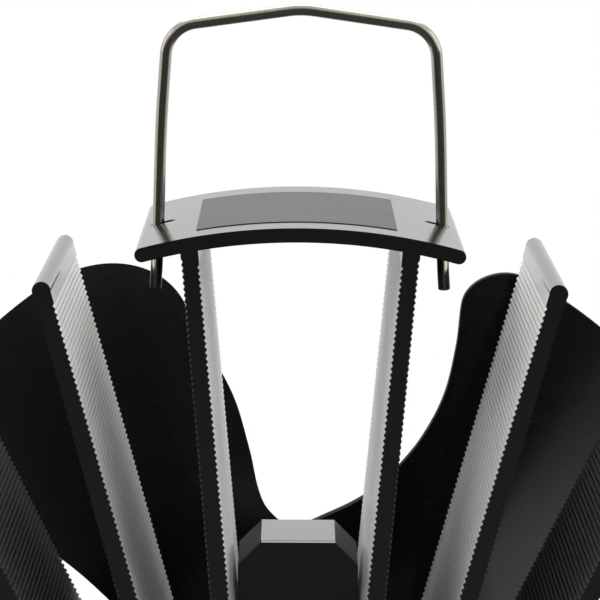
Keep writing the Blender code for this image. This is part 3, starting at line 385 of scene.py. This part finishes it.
def makeCamera(values):
    pitch, yaw, roll = (math.radians(values[name]) for name in ("pitch", "yaw", "roll"))
    ahead = Vector((-math.sin(yaw) * math.cos(pitch), -math.cos(yaw) * math.cos(pitch), -math.sin(pitch)))
    right = Vector((-math.cos(yaw), math.sin(yaw), 0))
    up = right.cross(ahead)
    rolledRight = right * math.cos(roll) + up * math.sin(roll)
    rolledUp = up * math.cos(roll) - right * math.sin(roll)
    turn = Matrix((rolledRight, rolledUp, -ahead)).transposed().to_4x4()
    lens = bpy.data.cameras.new("photoCamera")
    lens.lens = values["lens"]
    lens.sensor_width = values["sensor"]
    lens.sensor_fit = "HORIZONTAL"
    lens.clip_start = values["clipStart"]
    camera = bpy.data.objects.new("photoCamera", lens)
    camera.matrix_world = Matrix.Translation(values["place"]) @ turn
    bpy.context.scene.collection.objects.link(camera)
    bpy.context.scene.camera = camera


makeCamera(cameraValues)


# Studio: white all round, soft lamps, a pale floor and dark felt behind and below the camera. Sizes in m

studioValues = {
    "fill": 0.70,                                # the world's light on plain surfaces
    "lamps": (
        # name, place, aim, width, height, watts
        ("topSoftbox", (0.0, -0.30, 1.25), (0, 0, 0.12), 1.1, 0.8, 6.0),
        ("backSoftbox", (0.0, -0.80, 1.20), (0, 0, 0.17), 1.4, 0.7, 5.0),
        ("leftSoftbox", (-1.1, 0.1, 0.7), (0, 0, 0.12), 0.8, 0.8, 2.0),
        ("rightSoftbox", (1.1, 0.1, 0.7), (0, 0, 0.12), 0.8, 0.8, 2.0),
    ),
    "floorRadius": 0.52, "floorFade": 0.30, "floorSides": 96, "floorColour": "f2f2f0", "floorRough": 0.9,
    # curved screen behind the camera: its top by degrees from straight behind, and its colours from
    # the lower to the upper of two heights
    "screenRadius": 1.4, "screenBottom": -0.5, "screenSteps": 8,
    "screenTop": ((-70.0, 0.40), (-29.0, 0.40), (-26.0, 1.20), (25.0, 1.20), (30.0, 0.66), (70.0, 0.66)),
    "screenShade": (0.05, 0.60), "screenColours": ("343432", "6c6c6a"), "feltRough": 1.0,
    # sheet on the floor towards the camera: near edge, far edge, half width, height
    "apron": (0.12, 1.4, 1.3, 0.004), "apronColour": "4c4c4a",
}


# white to the camera and to mirrors, and dimmer as a light on plain surfaces
def makeWorld(values):
    world = bpy.data.worlds.new("studioWorld")
    world.use_nodes = True
    tree = world.node_tree
    tree.nodes.clear()
    rays = addNode(tree, "ShaderNodeLightPath")
    glossy = addNode(tree, "ShaderNodeMath", {"operation": "MAXIMUM"},
                     {0: rays.outputs["Is Camera Ray"], 1: rays.outputs["Is Glossy Ray"]})
    seen = addNode(tree, "ShaderNodeMath", {"operation": "MAXIMUM"},
                   {0: glossy.outputs[0], 1: rays.outputs["Is Transmission Ray"]})
    strength = addNode(tree, "ShaderNodeMapRange", {"To Min": values["fill"], "To Max": 1.0},
                       {"Value": seen.outputs[0]})
    white = addNode(tree, "ShaderNodeBackground", {"Color": (1, 1, 1, 1)},
                    {"Strength": strength.outputs["Result"]})
    addNode(tree, "ShaderNodeOutputWorld", {}, {"Surface": white.outputs[0]})
    bpy.context.scene.world = world


def makeLamps(values):
    for name, place, aim, width, height, watts in values["lamps"]:
        lamp = bpy.data.lights.new(name, "AREA")
        lamp.shape = "RECTANGLE"
        lamp.size, lamp.size_y = width, height
        lamp.energy = watts
        holder = bpy.data.objects.new(name, lamp)
        facing = (Vector(aim) - Vector(place)).to_track_quat("-Z", "Y")
        holder.matrix_world = Matrix.Translation(place) @ facing.to_matrix().to_4x4()
        holder.visible_camera = False
        bpy.context.scene.collection.objects.link(holder)


# fades into the white round it, so that no edge shows
def makeFloor(values):
    bm = bmesh.new()
    bmesh.ops.create_circle(bm, cap_ends=True, radius=values["floorRadius"], segments=values["floorSides"])
    floor = addMesh("paperFloor", bm)
    tree, shader, made = newMaterial("paperFloorMatt", {"Roughness": values["floorRough"],
                                                        "Base Color": linear(values["floorColour"])})
    place = addNode(tree, "ShaderNodeTexCoord")
    distance = addNode(tree, "ShaderNodeVectorMath", {"operation": "LENGTH"}, {0: place.outputs["Object"]})
    fade = addNode(tree, "ShaderNodeMapRange",
                   {"interpolation_type": "SMOOTHSTEP",
                    "From Min": values["floorFade"], "From Max": values["floorRadius"]},
                   {"Value": distance.outputs["Value"]})
    clear = addNode(tree, "ShaderNodeBsdfTransparent")
    mix = addNode(tree, "ShaderNodeMixShader", {},
                  {0: fade.outputs["Result"], 1: shader.outputs[0], 2: clear.outputs[0]})
    tree.links.new(mix.outputs[0], tree.nodes["Material Output"].inputs["Surface"])
    floor.data.materials.append(made)


# felt is there only for black and steel surfaces to mirror
def hideFelt(felt, made):
    felt.data.materials.append(made)
    felt.visible_camera = False
    felt.visible_shadow = False
    felt.visible_diffuse = False


def makeScreen(values):
    bm = bmesh.new()
    radius, bottom, steps = values["screenRadius"], values["screenBottom"], values["screenSteps"]
    posts = []
    for (first, firstTop), (last, lastTop) in zip(values["screenTop"], values["screenTop"][1:]):
        for step in range(steps):
            angle = math.radians(first + (last - first) * step / steps)
            top = firstTop + (lastTop - firstTop) * step / steps
            x, y = radius * math.sin(angle), radius * math.cos(angle)
            posts.append((bm.verts.new((x, y, bottom)), bm.verts.new((x, y, top))))
    for post, following in zip(posts, posts[1:]):
        bm.faces.new((post[0], following[0], following[1], post[1]))
    screen = addMesh("feltScreen", bm)
    tree, shader, made = newMaterial("woolFeltShaded", {"Roughness": values["feltRough"]})
    place = addNode(tree, "ShaderNodeTexCoord")
    parts = addNode(tree, "ShaderNodeSeparateXYZ", {}, {"Vector": place.outputs["Object"]})
    low, high = values["screenShade"]
    rise = addNode(tree, "ShaderNodeMapRange", {"From Min": low, "From Max": high},
                   {"Value": parts.outputs["Z"]})
    dark, light = values["screenColours"]
    shade = addNode(tree, "ShaderNodeMix", {"data_type": "RGBA", 6: linear(dark), 7: linear(light)},
                    {0: rise.outputs["Result"]})
    tree.links.new(shade.outputs[2], shader.inputs["Base Color"])
    hideFelt(screen, made)


def makeApron(values):
    bm = bmesh.new()
    near, far, half, level = values["apron"]
    corners = ((-half, near, level), (half, near, level), (half, far, level), (-half, far, level))
    bm.faces.new([bm.verts.new(corner) for corner in corners])
    _, _, made = newMaterial("woolFeltGrey", {"Roughness": values["feltRough"],
                                              "Base Color": linear(values["apronColour"])})
    hideFelt(addMesh("feltApron", bm), made)


makeWorld(studioValues)
makeLamps(studioValues)
makeFloor(studioValues)
makeScreen(studioValues)
makeApron(studioValues)
bpy.context.scene.view_settings.view_transform = "Standard"
print("camera and studio in place")


# Heat sink: six fins with serrated faces, an arched plate over the centre pair

heatSinkValues = {
    "depth": 65.6 * mm, "low": 88.1 * mm, "platform": 98.1 * mm, "platformEdge": 0.6 * mm,
    "apex": 216.1 * mm, "archRadius": 117.5 * mm, "archWidth": 63 * mm, "archThickness": 2.75 * mm,
    # thickness of a fin at the height of the apex, and at finHeight below it
    "tipThickness": 3.0 * mm, "rootThickness": 3.7 * mm, "finHeight": 128 * mm,
    # round tips of the free fins: radius, how far they stand over the arch, and widest neck as a share
    "bulbRadius": 1.8 * mm, "freeRise": 0.4 * mm, "neckLimit": 0.985,
    # reach of the inner face at the height of the apex, and lean in degrees
    "fins": {"centre": (20.0 * mm, 5.233), "outer": (51.0 * mm, 15.42), "side": (89.0 * mm, 25.73)},
    "toothPitch": 1.175 * mm, "toothDepth": 0.40 * mm,
    # one groove in the flat face: share of the pitch, and share of the depth below the crests
    "groove": ((0.0, 0.0), (0.47, 1.0), (0.94, 0.0)),
    # smooth strip above the teeth: outside and inside of the centre fins, and the free fins
    "smoothOutside": 1.0 * mm, "smoothInside": 2.6 * mm, "smoothFree": 2.3 * mm, "smoothRoot": 1.0 * mm,
    # slots for the handle: ends, half width, place along Y, depth below the apex
    "slotInner": 24.8 * mm, "slotOuter": 29.75 * mm, "slotHalf": 1.48 * mm, "slotY": 1.5 * mm,
    "slotDepth": 9 * mm,
    # holes in the platform: X, Y, radius, and how deep the two blind ones go
    "leadHole": (0.0, 26.5 * mm, 3.5 * mm), "tabHoles": (4.3 * mm, 8.55 * mm, 1.6 * mm),
    "tabDepth": 6 * mm, "cutOver": 2 * mm,
    "bulbSteps": 28, "plateSteps": 64, "plateEndSteps": 16, "overhangSteps": 10, "windowSteps": 32,
    "slotSteps": 12, "leadHoleSides": 32, "tabHoleSides": 20, "arcTries": 12,
    "smoothAngle": 28,
    # teeth are the faces that keep clear of the arch and the platform by these margins and don't look
    # along Y: a crest looks up less than crestUp, a flank more, up to flankUp
    "archMargin": 0.5 * mm, "platformMargin": 0.01 * mm, "endFace": 0.5, "crestUp": 0.35, "flankUp": 0.95,
}


def finThickness(values, z):
    share = (values["apex"] - z) / values["finHeight"]
    return values["tipThickness"] + (values["rootThickness"] - values["tipThickness"]) * share


def innerFace(values, fin, z):
    reach, lean = values["fins"][fin]
    return reach + math.tan(math.radians(lean)) * (z - values["apex"])


def outerFace(values, fin, z):
    lean = math.radians(values["fins"][fin][1])
    return innerFace(values, fin, z) + finThickness(values, z) / math.cos(lean)


# crests stand half a tooth outside the faces
def crestShift(values, fin):
    return values["toothDepth"] / 2 / math.cos(math.radians(values["fins"][fin][1]))


def innerCrest(values, fin, z):
    return innerFace(values, fin, z) - crestShift(values, fin)


def outerCrest(values, fin, z):
    return outerFace(values, fin, z) + crestShift(values, fin)


# height at which a face meets a circle round the centre of the arch
def heightAtArc(values, face, fin, radius):
    z = values["apex"]
    centre = values["apex"] - values["archRadius"]
    for _ in range(values["arcTries"]):
        z = centre + math.sqrt(radius * radius - face(values, fin, z) ** 2)
    return z


def serrated(values, low, high, outward, smoothLow, smoothHigh):
    start, end = Vector(low), Vector(high)
    along = (end - start).normalized()
    out = Vector((along.y, -along.x)) * outward
    length = (end - start).length
    pitch, depth = values["toothPitch"], values["toothDepth"]
    count = int((length - smoothLow - smoothHigh) / pitch)
    first = length - smoothHigh - count * pitch
    points = [tuple(start)]
    for tooth in range(count):
        for phase, sunk in values["groove"]:
            points.append(tuple(start + along * (first + (tooth + phase) * pitch) - out * sunk * depth))
    points.append(tuple(end))
    return points


def freeFin(values, fin):
    tipCircle = values["archRadius"] + values["freeRise"] - values["bulbRadius"]
    outerZ = heightAtArc(values, outerFace, fin, tipCircle)
    innerZ = heightAtArc(values, innerFace, fin, tipCircle)
    z = (outerZ + innerZ) / 2
    x = (innerFace(values, fin, z) + outerFace(values, fin, z)) / 2
    # the bulb ends where it meets the crests, a little wider than the fin
    half = finThickness(values, z) / 2 + values["toothDepth"] / 2
    neck = math.asin(min(half / values["bulbRadius"], values["neckLimit"]))
    forward = math.pi / 2 - math.radians(values["fins"][fin][1])
    bulb = arc((x, z), values["bulbRadius"], forward - math.pi + neck, forward + math.pi - neck,
               values["bulbSteps"])
    root = values["platform"]
    smooth = values["smoothRoot"], values["smoothFree"]
    up = serrated(values, (outerCrest(values, fin, root), root), bulb[0], 1, *smooth)
    down = serrated(values, (innerCrest(values, fin, root), root), bulb[-1], -1, *smooth)
    return up + bulb[1:-1] + down[::-1]


def sinkOutlines(values):
    root = values["platform"]
    centre = (0, values["apex"] - values["archRadius"])
    endRadius = values["archThickness"] / 2
    middleRadius = values["archRadius"] - endRadius
    underRadius = values["archRadius"] - values["archThickness"]
    spread = math.asin((values["archWidth"] / 2 - endRadius) / middleRadius)
    right = math.pi / 2
    outerTop = heightAtArc(values, outerCrest, "centre", underRadius)
    innerTop = heightAtArc(values, innerCrest, "centre", underRadius)
    outerTopX = outerCrest(values, "centre", outerTop)
    innerTopX = innerCrest(values, "centre", innerTop)
    halfPlatform = outerFace(values, "side", root) + values["platformEdge"]
    endCentre = (middleRadius * math.sin(spread), centre[1] + middleRadius * math.cos(spread))
    half = [(halfPlatform, values["low"]), (halfPlatform, root)]
    half += freeFin(values, "side") + freeFin(values, "outer")
    half += serrated(values, (outerCrest(values, "centre", root), root), (outerTopX, outerTop), 1,
                     values["smoothRoot"], values["smoothOutside"])
    half += arc(centre, underRadius, right - math.asin(outerTopX / underRadius), right - spread,
                values["overhangSteps"])[1:]
    half += arc(endCentre, endRadius, right - spread - math.pi, right - spread, values["plateEndSteps"])[1:-1]
    top = arc(centre, values["archRadius"], right - spread, right + spread, values["plateSteps"])
    rising = serrated(values, (innerCrest(values, "centre", root), root), (innerTopX, innerTop), -1,
                      values["smoothRoot"], values["smoothInside"])
    turn = math.asin(innerTopX / underRadius)
    under = arc(centre, underRadius, right - turn, right + turn, values["windowSteps"])
    window = rising + under[1:-1] + mirrored(rising)
    return half + top + mirrored(half), window


def sinkHoles(values):
    holes = bmesh.new()
    over, root = values["cutOver"], values["platform"]
    radius = values["slotHalf"]
    first, last = values["slotInner"] + radius, values["slotOuter"] - radius
    for side in (-1, 1):
        points = arc((last, values["slotY"]), radius, -math.pi / 2, math.pi / 2, values["slotSteps"])
        points += arc((first, values["slotY"]), radius, math.pi / 2, math.pi * 1.5, values["slotSteps"])
        if side < 0:
            points = mirrored(points)
        addTo(holes, prism(points, values["apex"] - values["slotDepth"], values["apex"] + over, axis="Z"))
    x, y, radius = values["leadHole"]
    points = arc((x, y), radius, 0, math.tau, values["leadHoleSides"])[:-1]
    addTo(holes, prism(points, values["low"] - over, root + over, axis="Z"))
    x, y, radius = values["tabHoles"]
    for side in (-1, 1):
        points = arc((side * x, y), radius, 0, math.tau, values["tabHoleSides"])[:-1]
        addTo(holes, prism(points, root - values["tabDepth"], root + over, axis="Z"))
    return holes


sinkFinishes = ("anodisedAluminiumExtruded", "anodisedAluminiumSerratedPaintedSheen", "anodisedAluminiumShadedTeethPaintedSheen")


# teeth get a silvery painted sheen on the inner faces of the centre and outer fins, but for their crests,
# which stay black as fine dark lines, and a dimmer grey painted sheen, standing in for deeper shade, where an
# outer face or a side fin faces up
def sinkFinish(values, face):
    x, _, z = face.center
    up = face.normal.z
    ring = values["archRadius"] - values["archThickness"] - values["archMargin"]
    inArch = math.hypot(x, z - values["apex"] + values["archRadius"]) > ring
    if inArch or z < values["platform"] + values["platformMargin"] or abs(face.normal.y) > values["endFace"]:
        return 0
    near = abs(x) < innerFace(values, "side", z) - values["toothPitch"]
    if near and face.normal.x * x < 0:
        crest = 0 < up < values["crestUp"] and face.area <= values["toothPitch"] * values["depth"]
        return 0 if crest else 1
    return 2 if values["crestUp"] < up < values["flankUp"] else 0


def makeHeatSink(values):
    outline, window = sinkOutlines(values)
    half = values["depth"] / 2
    sink = addMesh("heatSinkExtrusion", prism(outline, -half, half, [window]))
    cutAway(sink, sinkHoles(values))
    smoothFaces(sink.data, values["smoothAngle"])
    sink.data.materials.clear()
    for name in sinkFinishes:
        sink.data.materials.append(materials[name])
    for face in sink.data.polygons:
        face.material_index = sinkFinish(values, face)
    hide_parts("heat_sink")
    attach(sink, "frame")


makeHeatSink(heatSinkValues)
print("heat sink made")


# Rotor: one pressed sheet with four pitched blades

rotorValues = {
    "axisZ": 109.1 * mm, "planeY": -46.24 * mm, "thickness": 1.2 * mm, "blades": 4,
    "hole": 4.3 * mm, "disc": 26 * mm, "valley": 31 * mm, "tip": 99.6 * mm,
    # pitch in degrees, full from easeEnd on, and bow of the blade across its width
    "pitch": 16.0, "easeEnd": 50 * mm, "camber": 2.2 * mm, "camberSpan": 1.3,
    # each edge: share of the way from the valley circle to the tip, and angle in degrees
    "leadEdge": (
        (0.0, -46.5), (0.032, -39.0), (0.091, -30.5), (0.152, -25.3), (0.221, -22.0), (0.304, -19.7),
        (0.402, -18.3), (0.544, -18.3), (0.710, -20.3), (0.865, -22.5), (1.0, -22.5),
    ),
    "trailEdge": (
        (0.0, 43.5), (0.028, 37.5), (0.092, 33.1), (0.243, 32.2), (0.406, 31.4), (0.587, 28.8),
        (0.694, 27.5), (1.0, 27.1),
    ),
    # rounding of the two corners at the tip: how far in, and how far round
    "leadCorner": (11.2 * mm, 11.2 * mm), "trailCorner": (19 * mm, 28 * mm),
    "discRows": 7, "bladeRows": 72, "columns": 28,
    "roundWidth": 0.35 * mm, "roundFrom": 50, "smoothAngle": 35,
}


def edgeAngle(values, table, share, radius, corner, sign):
    angle = math.radians(smoothValue(table, share))
    into = radius - (values["tip"] - corner[0])
    if into > 0:
        part = min(into / corner[0], 1)
        angle -= sign * corner[1] * (1 - math.sqrt(1 - part * part)) / radius
    return angle


def bladeLift(values, radius, angle):
    across = radius * math.sin(angle)
    pitch = math.radians(values["pitch"])
    bow = values["camber"] * (1 - (across / (values["tip"] * math.sin(pitch) * values["camberSpan"])) ** 2)
    ease = eased((radius - values["disc"]) / (values["easeEnd"] - values["disc"]))
    return ease * (-across * math.tan(pitch) + bow)


# radius, and first and last angle, from the hole out to the tip
def sheetRows(values):
    rows = []
    hole, disc, valley = values["hole"], values["disc"], values["valley"]
    first, last = (math.radians(values[edge][0][1]) for edge in ("leadEdge", "trailEdge"))
    for step in range(values["discRows"] + 1):
        rows.append((hole + (disc - hole) * step / values["discRows"], first, last))
    for step in range(values["bladeRows"] + 1):
        share = (1 - math.cos(math.pi * step / values["bladeRows"])) / 2
        radius = valley + (values["tip"] - valley) * share
        lead = edgeAngle(values, values["leadEdge"], share, radius, values["leadCorner"], -1)
        trail = edgeAngle(values, values["trailEdge"], share, radius, values["trailCorner"], 1)
        rows.append((radius, lead, trail))
    return rows


def makeRotor(values):
    bm = bmesh.new()
    rows = sheetRows(values)
    columns, blades = values["columns"], values["blades"]
    for blade in range(blades):
        middle = math.tau * (blade + 0.5) / blades
        grid = []
        for radius, low, high in rows:
            line = []
            for column in range(columns + 1):
                angle = low + (high - low) * column / columns
                x = -radius * math.sin(middle + angle)
                y = values["planeY"] + bladeLift(values, radius, angle)
                z = values["axisZ"] + radius * math.cos(middle + angle)
                line.append(bm.verts.new((x, y, z)))
            grid.append(line)
        for row, following in zip(grid, grid[1:]):
            for column in range(columns):
                bm.faces.new((row[column], row[column + 1], following[column + 1], following[column]))
    rotor = addMesh("rotorSheet", bm, values["smoothAngle"])
    rotor.data.materials.append(materials["lacqueredAluminiumPressed"])
    rotor.data.materials.append(materials["lacqueredAluminiumCutEdge"])
    sheet = rotor.modifiers.new("sheet", "SOLIDIFY")
    sheet.thickness = values["thickness"]
    sheet.offset = 0
    sheet.material_offset_rim = 1
    roundEdges(rotor, values["roundWidth"], values["roundFrom"])
    rotor.modifiers["edges"].material = 1
    applyModifiers(rotor)
    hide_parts("rotor_blades")
    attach(rotor, "rotor")


makeRotor(rotorValues)
print("rotor made")


# Handle: one bent wire whose feet are pinched flat under the plate

handleValues = {
    "radius": 1.18 * mm, "y": heatSinkValues["slotY"], "apex": heatSinkValues["apex"],
    "peak": 39.2 * mm, "peakRadius": 19 * mm, "barSlope": 8.0,
    "cornerX": 26.4 * mm, "cornerRadius": 6.7 * mm,
    # height over the apex and distance from the middle, from the foot to the middle of the leg
    "leg": (
        (-16.3 * mm, 28.8 * mm), (-11.28 * mm, 28.5 * mm), (-3.52 * mm, 28.2 * mm), (16.5 * mm, 27.6 * mm),
    ),
    # the pinched foot: length, how much of it is the way in, half width along X and along Y
    "crimp": 7.0 * mm, "crimpEase": 3.5 * mm, "crimpWide": 1.20 * mm, "crimpDeep": 2.0 * mm,
    "sides": 40, "legSteps": 48, "cornerSteps": 16, "peakSteps": 8,
    "roundWidth": 0.18 * mm, "roundFrom": 60, "smoothAngle": 50,
}


def handlePath(values):
    slope = math.radians(values["barSlope"])
    barTurn = math.pi / 2 - slope
    # leg and bar would meet in a sharp corner, which the bend rounds off
    ridge = values["peak"] + values["peakRadius"] * (1 / math.cos(slope) - 1)
    cornerZ = ridge - math.tan(slope) * values["cornerX"]
    midZ, midX = values["leg"][-1]
    lean = math.atan((midX - values["cornerX"]) / (cornerZ - midZ))
    radius = values["cornerRadius"]
    reach = radius * math.tan((barTurn - lean) / 2)
    shoulder = (cornerZ - reach * math.cos(lean), values["cornerX"] + reach * math.sin(lean))
    leg = (*values["leg"], shoulder)
    points = []
    for step in range(values["legSteps"] + 1):
        z = leg[0][0] + (shoulder[0] - leg[0][0]) * step / values["legSteps"]
        points.append((smoothValue(leg, z), values["apex"] + z))
    centre = (shoulder[1] - radius * math.cos(lean), values["apex"] + shoulder[0] - radius * math.sin(lean))
    points += arc(centre, radius, lean, barTurn, values["cornerSteps"])[1:]
    top = (0, values["apex"] + values["peak"] - values["peakRadius"])
    points += arc(top, values["peakRadius"], barTurn, math.pi / 2, values["peakSteps"])
    return points + mirrored(points[:-1])


def makeHandle(values):
    path = handlePath(values)
    foot = path[0][1]
    sides, radius = values["sides"], values["radius"]
    bm = bmesh.new()
    rings = []
    for index, (x, z) in enumerate(path):
        before, after = Vector(path[max(index - 1, 0)]), Vector(path[min(index + 1, len(path) - 1)])
        along = (after - before).normalized()
        share = eased((values["crimp"] - (z - foot)) / values["crimpEase"])
        wide = radius + (values["crimpWide"] - radius) * share
        deep = radius + (values["crimpDeep"] - radius) * share
        ring = []
        for side in range(sides):
            angle = math.tau * side / sides
            a, b = wide * math.cos(angle), deep * math.sin(angle)
            ring.append(bm.verts.new((x - along.y * a, values["y"] + b, z + along.x * a)))
        rings.append(ring)
    for ring, following in zip(rings, rings[1:]):
        for side in range(sides):
            ahead = (side + 1) % sides
            bm.faces.new((ring[side], ring[ahead], following[ahead], following[side]))
    bm.faces.new(rings[0])
    bm.faces.new(rings[-1])
    handle = addMesh("handleWire", bm, values["smoothAngle"])
    roundEdges(handle, values["roundWidth"], values["roundFrom"])
    applyModifiers(handle)
    handle.data.materials.append(materials["stainlessSteelDrawn"])
    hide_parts("wire_handle")
    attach(handle, "handle")


makeHandle(handleValues)
print("handle made")


# Label: bare film stuck to the top of the plate

labelValues = {
    "radius": heatSinkValues["archRadius"], "centreZ": heatSinkValues["apex"] - heatSinkValues["archRadius"],
    "width": 38.6 * mm, "length": 46.4 * mm, "shiftX": 0.7 * mm, "shiftY": 0.8 * mm,
    "film": 0.12 * mm, "glue": 0.02 * mm, "steps": 48, "smoothAngle": 35,
}


def makeLabel(values):
    low = values["radius"] + values["glue"]
    high = low + values["film"]
    half = math.asin(values["width"] / 2 / low)
    middle = math.pi / 2 - math.asin(values["shiftX"] / low)
    centre = (0, values["centreZ"])
    outline = arc(centre, high, middle - half, middle + half, values["steps"])
    outline += arc(centre, low, middle + half, middle - half, values["steps"])
    start = values["shiftY"] - values["length"] / 2
    label = addMesh("labelFilm", prism(outline, start, start + values["length"]), values["smoothAngle"])
    label.data.materials.append(materials["polyesterFilmPrinted"])
    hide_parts("rating_label")
    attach(label, "frame")


makeLabel(labelValues)
print("label made")


# Nodes whose shape is right get rounded edges and their finish: the edges' width is in mm

nodeFinishes = {
    "base_stand": ("anodisedAluminiumExtruded", 0.30),
    "hot_side_pad": ("graphiteSheetPressed", 0.05),
    "module_hot_plate": ("aluminaFired", 0.10),
    "module_pellet_chain": ("bismuthTellurideSawn", 0.0),
    "module_seal": ("siliconeBead", 0.20),
    "module_cold_plate": ("aluminaFired", 0.10),
    "cold_side_pad": ("graphiteSheetPressed", 0.05),
    "clamp_screw_left": ("steelZincPlated", 0.20),
    "clamp_screw_right": ("steelZincPlated", 0.20),
    "spring_washer_left": ("steelZincPlated", 0.12),
    "spring_washer_right": ("steelZincPlated", 0.12),
    "insulating_bush_left": ("aluminaFired", 0.10),
    "insulating_bush_right": ("aluminaFired", 0.10),
    "motor_housing": ("glassFilledNylonMoulded", 0.35),
    "housing_cover": ("glassFilledNylonMoulded", 0.25),
    "housing_screw_left": ("steelZincPlated", 0.15),
    "housing_screw_right": ("steelZincPlated", 0.15),
    "cover_screw_left": ("steelZincPlated", 0.12),
    "cover_screw_right": ("steelZincPlated", 0.12),
    "motor_can": ("steelZincPlated", 0.25),
    "motor_magnet_upper": ("ferriteSintered", 0.10),
    "motor_magnet_lower": ("ferriteSintered", 0.10),
    "motor_end_cap": ("glassFilledNylonMoulded", 0.15),
    "motor_terminal_left": ("brassTurned", 0.05),
    "motor_terminal_right": ("brassTurned", 0.05),
    "motor_brush_left": ("copperEnamelled", 0.0),
    "motor_brush_right": ("copperEnamelled", 0.0),
    "front_bearing": ("brassTurned", 0.08),
    "rear_bearing": ("brassTurned", 0.08),
    "armature_core": ("siliconSteelStacked", 0.0),
    "armature_winding_1": ("copperEnamelled", 0.20),
    "armature_winding_2": ("copperEnamelled", 0.20),
    "armature_winding_3": ("copperEnamelled", 0.20),
    "commutator": ("copperEnamelled", 0.0),
    "motor_shaft": ("steelGround", 0.12),
    "hub": ("brassTurned", 0.20),
    "hub_grub_screw": ("steelZincPlated", 0.12),
    "hub_nut": ("brassTurned", 0.25),
    "lead_red": ("siliconeSleeveRed", 0.0),
    "lead_black": ("siliconeSleeveBlack", 0.0),
    "lead_grommet": ("siliconeSleeveBlack", 0.15),
}

for nodeName, (finishName, edgeWidth) in nodeFinishes.items():
    node = nodes[nodeName]
    if not node.material_slots:
        raise SystemExit("no material slot on " + nodeName)
    for slot in node.material_slots:
        slot.material = materials[finishName]
    if edgeWidth:
        roundEdges(node, edgeWidth * mm)
print("nodes dressed:", len(nodeFinishes))

bpy.context.view_layer.update()
